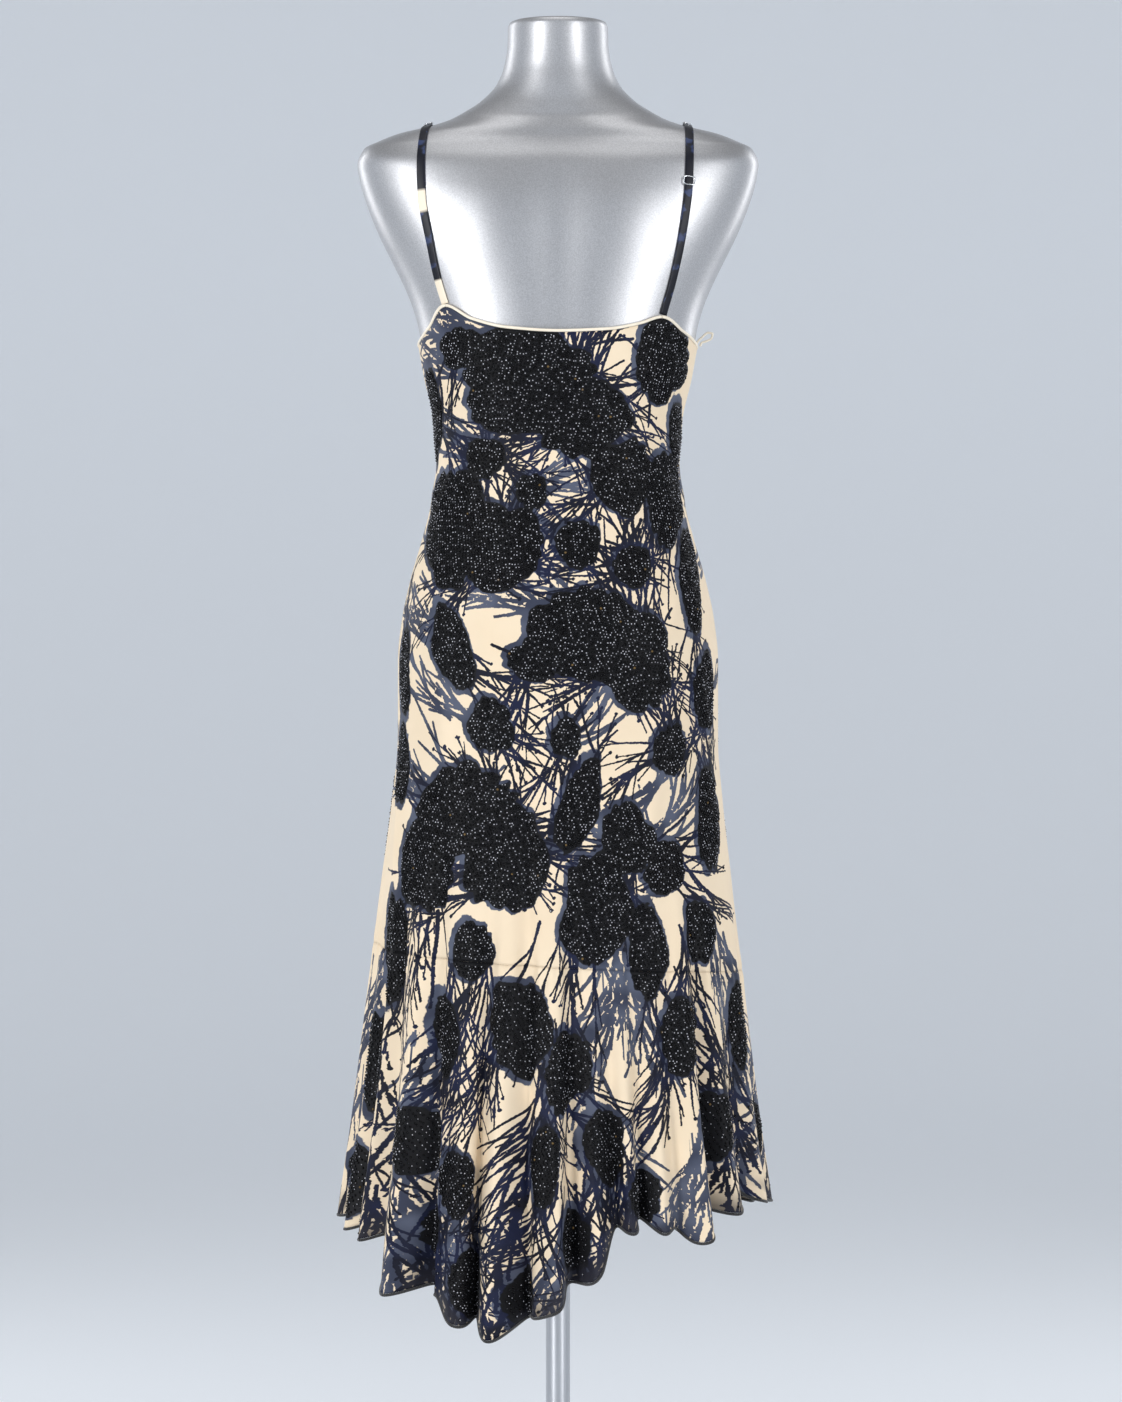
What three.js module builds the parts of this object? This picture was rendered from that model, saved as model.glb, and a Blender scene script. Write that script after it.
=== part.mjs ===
// Slip dress with a low flounce, worn by a limbless dress form on a pole and a round base.
// Millimetres, +Z up. The origin is on the floor, at the centre of the base.
// -Y is the wearer's back, +Y the front, +X the wearer's right.
// An angle goes round the body: 0 at the centre back, 90 at the right side, 180 at the front.

import * as THREE from "three";

// Driving sizes of the cloth
const WALL = 1.2; // cloth, lining and print together
const SEAM_GAP = 0.3; // between two pieces that are sewn edge to edge
const SEAM_TURN = 0.1; // degrees that a side seam's edge stands back
const SIDE_RIGHT = 90;
const SIDE_LEFT = -90;
const HEM_LEVEL = 400; // height where the flutes reach their stated size
const FLUTE_REST = 2.2; // cloth drawn in between the flutes, at the hem

// Driving sizes of the trims
const BINDING_HEIGHT = 3;
const BINDING_PROUD = 0.6; // how far a binding stands out past both faces of the cloth
const HEM_ROLL_HEIGHT = 2.8;
const HEM_ROLL_PROUD = 0.9;
const HEM_GAP = 0.6; // wider than at a seam, because the flutes turn sharply there
const STRAP_WIDTH = 8.5;
const STRAP_THICK = 1.4;
const STRAP_CLEAR = 0.6; // above the form
const RING_RADIUS = 4.6;
const RING_WIRE = 0.75;
const SLIDER_WIDTH = 13;
const SLIDER_HEIGHT = 10;
const SLIDER_THICK = 1.2;
const SLIDER_BAR = 1.6;
const LOOP_WIDTH = 3;
const LOOP_THICK = 0.8;

// Driving sizes of the form and its stand
const FORM_BOTTOM = 800;
const NECK_TOP = 1595;
const SOCKET_HEIGHT = 14;
const SOCKET_RADIUS = 34;
const POLE_RADIUS = 12;
const BASE_RADIUS = 160;
const BASE_EDGE = 6;
const BASE_DOME = 12;
const BASE_BEVEL = { out: 8, up: 2.5 }; // soft edge of the plate
const HUB_RADIUS = 24;
const HUB_HEIGHT = 40;
const HUB_FOOT = 4; // how far the hub spreads at its foot
const SOCKET_NECK = 8; // wall of the socket round the pole
const SOCKET_RIM = 4;

// Sections of the form: half width at the sides, depth to the back and to the front, and how square it is
const FORM = [
  { z: FORM_BOTTOM, side: 122, back: 72, front: 72, square: 2.2 },
  { z: 806, side: 130, back: 79, front: 78, square: 2.2 },
  { z: 840, side: 140, back: 88, front: 84, square: 2.2 },
  { z: 877, side: 149, back: 99, front: 92, square: 2.25 },
  { z: 917, side: 154.5, back: 108, front: 98, square: 2.3 },
  { z: 957, side: 156, back: 111.5, front: 102, square: 2.3 },
  { z: 997, side: 152, back: 108.5, front: 102, square: 2.3 },
  { z: 1037, side: 143.5, back: 101, front: 100, square: 2.3 },
  { z: 1077, side: 132, back: 92, front: 97, square: 2.25 },
  { z: 1117, side: 122, back: 84.5, front: 93, square: 2.2 },
  { z: 1157, side: 117.5, back: 81, front: 91, square: 2.2 },
  { z: 1197, side: 120.5, back: 84, front: 96, square: 2.2 },
  { z: 1237, side: 129.5, back: 91, front: 108, square: 2.25 },
  { z: 1267, side: 135.5, back: 95.5, front: 116, square: 2.3 },
  { z: 1291, side: 140, back: 98, front: 119, square: 2.3 },
  { z: 1315, side: 147.5, back: 99, front: 117.5, square: 2.3 },
  { z: 1347, side: 162, back: 98.5, front: 111, square: 2.35 },
  { z: 1379, side: 178, back: 96, front: 102, square: 2.45 },
  { z: 1411, side: 191, back: 91, front: 91, square: 2.55 },
  { z: 1435, side: 198, back: 85, front: 81, square: 2.6 },
  { z: 1451, side: 200.5, back: 80, front: 74, square: 2.6 },
  { z: 1467, side: 194, back: 72, front: 66, square: 2.5 },
  { z: 1474, side: 180.5, back: 69, front: 63, square: 2.35 },
  { z: 1482, side: 160.5, back: 66.5, front: 60, square: 2.2 },
  { z: 1489, side: 131, back: 64, front: 57.5, square: 2.1 },
  { z: 1496, side: 109.5, back: 61.5, front: 55.5, square: 2 },
  { z: 1505, side: 92.5, back: 59.5, front: 53.5, square: 2 },
  { z: 1514, side: 78.5, back: 57.5, front: 52, square: 2 },
  { z: 1531, side: 62, back: 55, front: 50.5, square: 2 },
  { z: 1550, side: 54, back: 52, front: 50, square: 2 },
  { z: 1572, side: 50.5, back: 50.5, front: 50, square: 2 },
  { z: 1589, side: 50, back: 50, front: 50, square: 2 },
  { z: 1593.5, side: 48, back: 48, front: 48, square: 2 },
  { z: NECK_TOP, side: 45, back: 45, front: 45, square: 2 },
];

// Sections of the dress: it lies on the form down to the hip and falls in a flare below it
const DRESS = [
  { z: 260, side: 220, back: 168, front: 160, square: 2.05 },
  { z: 340, side: 214, back: 162, front: 154, square: 2.05 },
  { z: 417, side: 207, back: 155, front: 148, square: 2.1 },
  { z: 497, side: 198, back: 147, front: 141, square: 2.1 },
  { z: 577, side: 190, back: 138, front: 133, square: 2.15 },
  { z: 657, side: 182, back: 128, front: 124, square: 2.2 },
  { z: 737, side: 173.5, back: 120, front: 116, square: 2.25 },
  { z: 817, side: 164.5, back: 115.5, front: 110, square: 2.3 },
  { z: 877, side: 160, back: 115, front: 107, square: 2.3 },
  { z: 957, side: 160, back: 115.5, front: 106.5, square: 2.3 },
  { z: 997, side: 156, back: 112.5, front: 106.5, square: 2.3 },
  { z: 1037, side: 147.5, back: 105.5, front: 105, square: 2.3 },
  { z: 1077, side: 136, back: 96.5, front: 102, square: 2.25 },
  { z: 1117, side: 126, back: 89.5, front: 98.5, square: 2.2 },
  { z: 1157, side: 121.5, back: 86.5, front: 97, square: 2.2 },
  { z: 1197, side: 124.5, back: 89, front: 102, square: 2.2 },
  { z: 1237, side: 133.5, back: 95.5, front: 113.5, square: 2.25 },
  { z: 1267, side: 139, back: 99.5, front: 121, square: 2.3 },
  { z: 1291, side: 143.5, back: 101.5, front: 124, square: 2.3 },
  { z: 1315, side: 151, back: 102.5, front: 122.5, square: 2.3 },
  { z: 1347, side: 165.5, back: 102, front: 116, square: 2.35 },
  { z: 1379, side: 181.5, back: 99.5, front: 106.5, square: 2.45 },
  { z: 1411, side: 194.5, back: 94.5, front: 95.5, square: 2.55 },
];

// Top edge of the bodice. Its four peaks carry the straps.
const BACK_LEFT_STRAP = -46;
const BACK_RIGHT_STRAP = 43;
const FRONT_RIGHT_STRAP = 148;
const FRONT_LEFT_STRAP = 212;
const TOP_EDGE = [
  { at: SIDE_LEFT, z: 1269 },
  { at: -75, z: 1273 },
  { at: -60, z: 1284 },
  { at: BACK_LEFT_STRAP, z: 1304 },
  { at: -35, z: 1290.5 },
  { at: -20, z: 1281 },
  { at: 0, z: 1277.5 },
  { at: 20, z: 1279.5 },
  { at: 33, z: 1285.5 },
  { at: BACK_RIGHT_STRAP, z: 1292.5 },
  { at: 57, z: 1280 },
  { at: 75, z: 1270.5 },
  { at: SIDE_RIGHT, z: 1267 },
  { at: 105, z: 1272 },
  { at: 121, z: 1293 },
  { at: 136, z: 1334 },
  { at: FRONT_RIGHT_STRAP, z: 1370 },
  { at: 157, z: 1352 },
  { at: 168, z: 1338 },
  { at: 180, z: 1333 },
  { at: 192, z: 1338 },
  { at: 203, z: 1352 },
  { at: FRONT_LEFT_STRAP, z: 1370 },
  { at: 224, z: 1334 },
  { at: 239, z: 1293 },
  { at: 255, z: 1273 },
  { at: 270, z: 1269 },
];

// Seam where the flounce is sewn on
const LOW_SEAM = [
  { at: SIDE_LEFT, z: 676 },
  { at: -40, z: 664 },
  { at: 0, z: 656 },
  { at: 45, z: 650 },
  { at: SIDE_RIGHT, z: 647 },
  { at: 180, z: 658 },
  { at: 270, z: 676 },
];

// Hem of the flounce, which dips in a point left of the centre back
const HEM = [
  { at: SIDE_LEFT, z: 408 },
  { at: -71, z: 398 },
  { at: -57, z: 386 },
  { at: -49, z: 348 },
  { at: -38, z: 337 },
  { at: -26, z: 317 },
  { at: -15, z: 305 },
  { at: -1, z: 334 },
  { at: 7, z: 351 },
  { at: 14, z: 396 },
  { at: 24, z: 405 },
  { at: 36, z: 394 },
  { at: 48, z: 412 },
  { at: 62, z: 427 },
  { at: SIDE_RIGHT, z: 421 },
  { at: 135, z: 412 },
  { at: 180, z: 406 },
  { at: 225, z: 410 },
  { at: 270, z: 408 },
];

// Flutes of the skirt: half width in degrees, size outwards and sideways, how much lower
// the hem hangs there, and the height where the flute fades out
const FLUTES = [
  { at: -88, half: 8.5, out: 14, along: 0, drop: 4, from: 900 },
  { at: -72, half: 7, out: 11, along: -4, drop: 7, from: 700 },
  { at: -60, half: 6.5, out: 13, along: -5, drop: 8, from: 760 },
  { at: -46, half: 8.5, out: 19, along: -4, drop: 10, from: 820 },
  { at: -28, half: 8.5, out: 16, along: 5, drop: 12, from: 720 },
  { at: -15, half: 7, out: 23, along: -5, drop: 12, from: 790 },
  { at: -1, half: 8, out: 17, along: 5, drop: 10, from: 840 },
  { at: 10, half: 5.5, out: 14, along: 4, drop: 9, from: 700 },
  { at: 20, half: 5.5, out: 11, along: 3, drop: 5, from: 660 },
  { at: 30, half: 6, out: 15, along: -4, drop: 6, from: 780 },
  { at: 40, half: 8, out: 20, along: 3, drop: 12, from: 740 },
  { at: 54, half: 7, out: 13, along: 4, drop: 9, from: 690 },
  { at: 71, half: 8, out: 14, along: 3, drop: 7, from: 780 },
  { at: 88, half: 8, out: 9, along: 0, drop: 5, from: 720 },
  { at: 104, half: 8, out: 14, along: 4, drop: 8, from: 760 },
  { at: 119, half: 7.5, out: 17, along: -4, drop: 9, from: 700 },
  { at: 134, half: 8.5, out: 20, along: 5, drop: 12, from: 800 },
  { at: 150, half: 7.5, out: 14, along: -3, drop: 8, from: 720 },
  { at: 164, half: 7, out: 18, along: 4, drop: 10, from: 770 },
  { at: 179, half: 8.5, out: 21, along: -4, drop: 12, from: 820 },
  { at: 194, half: 7, out: 14, along: 4, drop: 7, from: 700 },
  { at: 208, half: 8, out: 19, along: 5, drop: 11, from: 780 },
  { at: 224, half: 8, out: 15, along: -5, drop: 8, from: 740 },
  { at: 239, half: 7.5, out: 18, along: 4, drop: 10, from: 800 },
  { at: 254, half: 7.5, out: 12, along: -4, drop: 7, from: 700 },
];

// Route of a strap from the back, over the shoulder, to the front. Each row is a ray from inside
// the form: `x` and `z` where it starts, and its tilt from straight back (0) over up (90) to the front (180).
const STRAP_LEFT = [
  { x: -110.5, z: 1307.6, tilt: 0 },
  { x: -119, z: 1336, tilt: 0 },
  { x: -126, z: 1370, tilt: 0 },
  { x: -133.5, z: 1409, tilt: 0 },
  { x: -135, z: 1428, tilt: 14 },
  { x: -133, z: 1436, tilt: 38 },
  { x: -130, z: 1440, tilt: 66 },
  { x: -128.5, z: 1440, tilt: 92 },
  { x: -126.5, z: 1440, tilt: 118 },
  { x: -123, z: 1436, tilt: 146 },
  { x: -117, z: 1424, tilt: 168 },
  { x: -108, z: 1402, tilt: 180 },
  { x: -98.5, z: 1374.2, tilt: 180 },
];
const STRAP_RIGHT = [
  { x: 103, z: 1296.6, tilt: 0 },
  { x: 113, z: 1332, tilt: 0 },
  { x: 121.5, z: 1372, tilt: 0 },
  { x: 127.5, z: 1412, tilt: 0 },
  { x: 129.5, z: 1430, tilt: 14 },
  { x: 130, z: 1437, tilt: 38 },
  { x: 129, z: 1440, tilt: 66 },
  { x: 128, z: 1440, tilt: 92 },
  { x: 126, z: 1440, tilt: 118 },
  { x: 122.5, z: 1436, tilt: 146 },
  { x: 116.5, z: 1424, tilt: 168 },
  { x: 107.5, z: 1402, tilt: 180 },
  { x: 98.5, z: 1374.2, tilt: 180 },
];
const STRAP_STEPS = 40;
const RING_AT = 0.56; // share of the strap, at the top of the shoulder
const SLIDER_AT = 0.29; // share of the strap, behind the shoulder

// Hanger loop at the right underarm, as places out from the side and up from the binding
const LOOP_ROUTE = [
  { out: -1.2, up: 0 },
  { out: 0.5, up: 4.5 },
  { out: 5, up: 9 },
  { out: 11, up: 13.5 },
  { out: 15.5, up: 12.5 },
  { out: 14.5, up: 8 },
  { out: 9, up: 5 },
  { out: 4.6, up: 3.4 },
  { out: 3.2, up: 0 },
];
const LOOP_STEPS = 20;

// How finely each piece is divided
const BODY_ROWS = 12;
const FLOUNCE_ROWS = 7;
const FLOUNCE_STEPS = 60;
const FORM_STEPS = 36;
const BACK_STEPS = { left: 11, centre: 22, right: 11 };
const FRONT_STEPS = { right: 13, centre: 16, left: 13 };
const ROW_EASING = 1.25; // above 1 it draws the rows of the body together at the bust

const finish = (color, roughness, metalness = 0) =>
  new THREE.MeshStandardMaterial({ color, roughness, metalness, side: THREE.DoubleSide });
const SILVER = { color: 0xb9babc, roughness: 0.34, metalness: 0.85 };
const CREAM = 0xeadbc2;
const NAVY = 0x14172a;
const SMOKE = 0x1a1614;

// Smooth value of one column of a table whose rows rise in `key`, with no overshoot between rows
function smooth(rows, key, column) {
  const slope = (i) => (rows[i + 1][column] - rows[i][column]) / (rows[i + 1][key] - rows[i][key]);
  const tangent = (i) => {
    if (i === 0) return slope(0);
    if (i === rows.length - 1) return slope(i - 1);
    const before = slope(i - 1);
    const after = slope(i);
    return before * after <= 0 ? 0 : (2 * before * after) / (before + after);
  };
  return (x) => {
    let i = 0;
    while (i < rows.length - 2 && x > rows[i + 1][key]) i += 1;
    const span = rows[i + 1][key] - rows[i][key];
    const t = THREE.MathUtils.clamp((x - rows[i][key]) / span, 0, 1);
    const rise = t * t * (3 - 2 * t);
    const start = t * (1 - t) * (1 - t);
    const end = t * t * (t - 1);
    const line = rows[i][column] + (rows[i + 1][column] - rows[i][column]) * rise;
    return line + span * (start * tangent(i) + end * tangent(i + 1));
  };
}

const columnsOf = (rows, key, names) =>
  Object.fromEntries(names.map((name) => [name, smooth(rows, key, name)]));
const SECTION_COLUMNS = ["side", "back", "front", "square"];
const formAt = columnsOf(FORM, "z", SECTION_COLUMNS);
const dressAt = columnsOf(DRESS, "z", SECTION_COLUMNS);
const topEdge = smooth(TOP_EDGE, "at", "z");
const lowSeam = smooth(LOW_SEAM, "at", "z");
const hemLine = smooth(HEM, "at", "z");

// Point of a section, which is a rounded rectangle of the size that `table` gives at height z
function sectionPoint(table, angle, z) {
  const turn = THREE.MathUtils.degToRad(angle);
  const across = Math.sin(turn);
  const through = Math.cos(turn);
  const square = table.square(z);
  const size = (Math.abs(across) ** square + Math.abs(through) ** square) ** (1 / square);
  const depth = through > 0 ? table.back(z) : table.front(z);
  return new THREE.Vector3((table.side(z) * across) / size, (-depth * through) / size, z);
}

// Share of a flute's size at an angle: 1 on its ridge, 0 from its half width on
function fluteShare(flute, angle) {
  const away = ((((angle - flute.at) % 360) + 540) % 360) - 180;
  const near = Math.min(Math.abs(away) / flute.half, 1);
  return Math.cos((near * Math.PI) / 2) ** 2;
}

const hem = (angle) =>
  FLUTES.reduce((z, flute) => z - flute.drop * fluteShare(flute, angle), hemLine(angle));

// Point on the outer face of the dress
function dressPoint(angle, z) {
  const point = sectionPoint(dressAt, angle, z);
  const ahead = sectionPoint(dressAt, angle + 0.5, z);
  const behind = sectionPoint(dressAt, angle - 0.5, z);
  const along = ahead.sub(behind).normalize();
  const outwards = new THREE.Vector3(along.y, -along.x, 0);
  for (const flute of FLUTES) {
    const fallen = THREE.MathUtils.clamp((flute.from - z) / (flute.from - HEM_LEVEL), 0, 1.15);
    const share = fluteShare(flute, angle) * fallen ** 1.3;
    point.addScaledVector(outwards, flute.out * share);
    point.addScaledVector(along, flute.along * share);
  }
  const drawnIn = THREE.MathUtils.smoothstep(-z, -FORM_BOTTOM, -HEM_LEVEL);
  return point.addScaledVector(outwards, -FLUTE_REST * drawnIn);
}

// Point at a depth under the outer face of the dress; a negative depth stands out from it
function clothPoint(angle, z, depth) {
  const acrossStep = 0.4;
  const upStep = 3;
  const across = dressPoint(angle + acrossStep, z).sub(dressPoint(angle - acrossStep, z));
  const up = dressPoint(angle, z + upStep).sub(dressPoint(angle, z - upStep));
  const inwards = up.cross(across).normalize();
  return dressPoint(angle, z).addScaledVector(inwards, depth);
}

// Closed body through rings of points that all have the same even number of points. Each end is
// closed by strips between the two sides of its ring.
function loft(rings) {
  const count = rings[0].length;
  const corners = [];
  const triangle = (a, b, c) => {
    if (a !== b && b !== c && c !== a) corners.push(a, b, c);
  };
  const quad = (a, b, c, d) => {
    triangle(a, b, c);
    triangle(a, c, d);
  };
  for (let r = 0; r < rings.length - 1; r += 1) {
    for (let k = 0; k < count; k += 1) {
      const after = (k + 1) % count;
      const here = r * count;
      const next = here + count;
      quad(here + k, next + k, next + after, here + after);
    }
  }
  const last = (rings.length - 1) * count;
  for (let k = 0; k < count / 2 - 1; k += 1) {
    const across = count - 1 - k;
    quad(k, k + 1, across - 1, across);
    quad(last + across, last + across - 1, last + k + 1, last + k);
  }
  return facingOut(rings.flat(), corners);
}

// Geometry of a closed body, with its faces turned outwards
function facingOut(points, corners) {
  let volume = 0;
  for (let i = 0; i < corners.length; i += 3) {
    const [a, b, c] = [0, 1, 2].map((k) => points[corners[i + k]]);
    volume += a.dot(b.clone().cross(c));
  }
  const index = volume > 0 ? corners : [...corners].reverse();
  const geometry = new THREE.BufferGeometry().setFromPoints(points);
  geometry.setIndex(index);
  geometry.computeVertexNormals();
  return geometry;
}

const steps = (from, to, count) =>
  Array.from({ length: count + 1 }, (_, i) => THREE.MathUtils.lerp(from, to, i / count));

// Angles of a panel's columns, with one on every named place
const stretches = (places, counts) =>
  counts.flatMap((count, i) => steps(places[i], places[i + 1], count).slice(i ? 1 : 0));

const BACK_PLACES = [
  SIDE_LEFT + SEAM_TURN,
  BACK_LEFT_STRAP,
  BACK_RIGHT_STRAP,
  SIDE_RIGHT - SEAM_TURN,
];
const FRONT_PLACES = [
  SIDE_RIGHT + SEAM_TURN,
  FRONT_RIGHT_STRAP,
  FRONT_LEFT_STRAP,
  SIDE_LEFT + 360 - SEAM_TURN,
];
const backAngles = stretches(BACK_PLACES, Object.values(BACK_STEPS));
const frontAngles = stretches(FRONT_PLACES, Object.values(FRONT_STEPS));

// Panel of cloth between two edges, each given as a height at an angle
function panel(angles, lowEdge, highEdge, rows, easing) {
  const shares = steps(0, 1, rows).map((t) => 1 - (1 - t) ** easing);
  const rings = angles.map((angle) => {
    const heights = shares.map((t) => THREE.MathUtils.lerp(lowEdge(angle), highEdge(angle), t));
    const outer = heights.map((z) => clothPoint(angle, z, 0));
    const inner = heights.map((z) => clothPoint(angle, z, WALL)).reverse();
    return [...outer, ...inner];
  });
  return loft(rings);
}

const bodyPanel = (angles) =>
  panel(angles, (angle) => lowSeam(angle) + SEAM_GAP / 2, topEdge, BODY_ROWS, ROW_EASING);
const flouncePanel = (angles) =>
  panel(angles, hem, (angle) => lowSeam(angle) - SEAM_GAP / 2, FLOUNCE_ROWS, 1);

// Point beside an edge of the cloth, `away` upwards from it and square to it, at a depth
function besideEdge(angle, edge, away, depth) {
  const step = 0.25;
  const ahead = dressPoint(angle + step, edge(angle));
  const width = ahead.distanceTo(dressPoint(angle - step, edge(angle)));
  const climb = edge(angle + step) - edge(angle - step);
  const length = Math.hypot(width, climb);
  const turn = (-climb / length) * (away / width) * 2 * step;
  return clothPoint(angle + turn, edge(angle) + (width / length) * away, depth);
}

// Rounded trim along an edge. `towards` is 1 for a trim above the edge and -1 for one below it.
function edging(angles, edge, towards, height, proud, gap = SEAM_GAP) {
  const near = gap * towards;
  const middle = (gap + height / 2) * towards;
  const far = (gap + height) * towards;
  const section = [
    { up: near, depth: WALL / 2 },
    { up: middle, depth: -proud },
    { up: far, depth: WALL / 2 },
    { up: middle, depth: WALL + proud },
  ];
  return loft(angles.map((angle) =>
    section.map(({ up, depth }) => besideEdge(angle, edge, up, depth))));
}

// Part of a panel's angles between two straps, standing back a little from both
function between(angles, from, to) {
  const inside = angles.filter((angle) => angle > from + SEAM_TURN && angle < to - SEAM_TURN);
  return [from + SEAM_TURN, ...inside, to - SEAM_TURN];
}
const backOf = (angles) => angles.map((angle) => angle - 360);
const binding = (angles) => edging(angles, topEdge, 1, BINDING_HEIGHT, BINDING_PROUD);

// The armhole binding runs round the side from the back strap to the front strap
const rightArmhole = [
  ...between(backAngles, BACK_RIGHT_STRAP, SIDE_RIGHT - SEAM_TURN),
  ...between(frontAngles, SIDE_RIGHT + SEAM_TURN, FRONT_RIGHT_STRAP),
];
const leftArmhole = [
  ...backOf(between(frontAngles, FRONT_LEFT_STRAP, SIDE_LEFT + 360 - SEAM_TURN)),
  ...between(backAngles, SIDE_LEFT + SEAM_TURN, BACK_LEFT_STRAP),
];
const topEdgeRound = (angle) => topEdge(angle < SIDE_LEFT ? angle + 360 : angle);
const armholeBinding = (angles) =>
  edging(angles, topEdgeRound, 1, BINDING_HEIGHT, BINDING_PROUD);
const hemRoll = (angles) =>
  edging(angles, hem, -1, HEM_ROLL_HEIGHT, HEM_ROLL_PROUD, HEM_GAP);

// Form

const formPoint = (angle, z) => sectionPoint(formAt, angle, z);

function torso() {
  const angles = steps(0, 360, FORM_STEPS).slice(0, FORM_STEPS);
  const rings = FORM.map((row) => angles.map((angle) => formPoint(angle, row.z)));
  return loft(rings);
}

// Above 1 outside the form and below 1 inside it
function formMeasure(point) {
  const depth = point.y < 0 ? formAt.back(point.z) : formAt.front(point.z);
  const square = formAt.square(point.z);
  const across = Math.abs(point.x) / formAt.side(point.z);
  return across ** square + (Math.abs(point.y) / depth) ** square;
}

const RAY_REACH = 160; // further than the form is deep
const RAY_HALVINGS = 40;

// Point where a ray from inside the form reaches its surface
function rayOnForm(x, z, tilt) {
  const turn = THREE.MathUtils.degToRad(tilt);
  const start = new THREE.Vector3(x, 0, z);
  const way = new THREE.Vector3(0, -Math.cos(turn), Math.sin(turn));
  let inside = 0;
  let outside = RAY_REACH;
  for (let i = 0; i < RAY_HALVINGS; i += 1) {
    const middle = (inside + outside) / 2;
    const measure = formMeasure(start.clone().addScaledVector(way, middle));
    if (measure < 1) inside = middle;
    else outside = middle;
  }
  return start.addScaledVector(way, inside);
}

function formNormal(point) {
  const step = 0.5;
  const change = (x, y, z) =>
    formMeasure(point.clone().add(new THREE.Vector3(x, y, z).multiplyScalar(step))) -
    formMeasure(point.clone().add(new THREE.Vector3(x, y, z).multiplyScalar(-step)));
  return new THREE.Vector3(change(1, 0, 0), change(0, 1, 0), change(0, 0, 1)).normalize();
}

// Place on a strap at a share of its length: a point on the form, the direction away from the
// form, the direction along the strap and the one across it
function strapPlace(route, share) {
  const rows = route.map((row, i) => ({ ...row, share: i / (route.length - 1) }));
  const x = smooth(rows, "share", "x");
  const z = smooth(rows, "share", "z");
  const tilt = smooth(rows, "share", "tilt");
  const at = (s) => rayOnForm(x(s), z(s), tilt(s));
  const step = 0.01;
  const point = at(share);
  const away = formNormal(point);
  const along = at(Math.min(share + step, 1)).sub(at(Math.max(share - step, 0))).normalize();
  const across = along.clone().cross(away).normalize();
  return { point, away, along, across };
}

function strap(route) {
  const section = [
    { side: -0.5, up: 0 },
    { side: 0.5, up: 0 },
    { side: 0.5, up: STRAP_THICK },
    { side: -0.5, up: STRAP_THICK },
  ];
  const rings = steps(0, 1, STRAP_STEPS).map((share) => {
    const { point, away, across } = strapPlace(route, share);
    return section.map(({ side, up }) =>
      point.clone().addScaledVector(across, side * STRAP_WIDTH)
        .addScaledVector(away, STRAP_CLEAR + up));
  });
  return loft(rings);
}

// Puts a fitting flat on a strap, with its own +Z away from the form and +Y along the strap
function onStrap(mesh, route, share, height) {
  const { point, away, along, across } = strapPlace(route, share);
  const turned = new THREE.Matrix4().makeBasis(across, along, away);
  mesh.quaternion.setFromRotationMatrix(turned);
  mesh.position.copy(point).addScaledVector(away, height);
  return mesh;
}
const STRAP_FACE = STRAP_CLEAR + STRAP_THICK + SEAM_GAP;

function slider() {
  const outline = new THREE.Shape();
  const [w, h] = [SLIDER_WIDTH / 2, SLIDER_HEIGHT / 2];
  const corner = 2;
  outline.moveTo(-w + corner, -h).lineTo(w - corner, -h).lineTo(w, -h + corner)
    .lineTo(w, h - corner).lineTo(w - corner, h).lineTo(-w + corner, h)
    .lineTo(-w, h - corner).lineTo(-w, -h + corner).closePath();
  const [slotWidth, slotHeight] = [w - SLIDER_BAR, h - SLIDER_BAR * 1.5];
  for (const middle of [-h / 2 + SLIDER_BAR / 4, h / 2 - SLIDER_BAR / 4]) {
    const slot = new THREE.Path();
    const reach = slotHeight / 2;
    slot.moveTo(-slotWidth, middle - reach).lineTo(slotWidth, middle - reach)
      .lineTo(slotWidth, middle + reach).lineTo(-slotWidth, middle + reach).closePath();
    outline.holes.push(slot);
  }
  return new THREE.ExtrudeGeometry(outline, { depth: SLIDER_THICK, bevelEnabled: false });
}

function hangerLoop() {
  const root = clothPoint(SIDE_RIGHT, topEdge(SIDE_RIGHT) + BINDING_HEIGHT + 2 * SEAM_GAP, WALL / 2);
  const places = LOOP_ROUTE.map(({ out, up }) => new THREE.Vector3(root.x + out, root.y, root.z + up));
  const route = new THREE.CatmullRomCurve3(places, false, "centripetal");
  const section = [
    { side: -0.5, up: -0.5 },
    { side: 0.5, up: -0.5 },
    { side: 0.5, up: 0.5 },
    { side: -0.5, up: 0.5 },
  ];
  return loft(steps(0, 1, LOOP_STEPS).map((share) => {
    const point = route.getPointAt(share);
    const along = route.getTangentAt(share);
    const away = new THREE.Vector3(-along.z, 0, along.x);
    return section.map(({ side, up }) =>
      point.clone().addScaledVector(away, up * LOOP_THICK)
        .add(new THREE.Vector3(0, side * LOOP_WIDTH, 0)));
  }));
}

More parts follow.
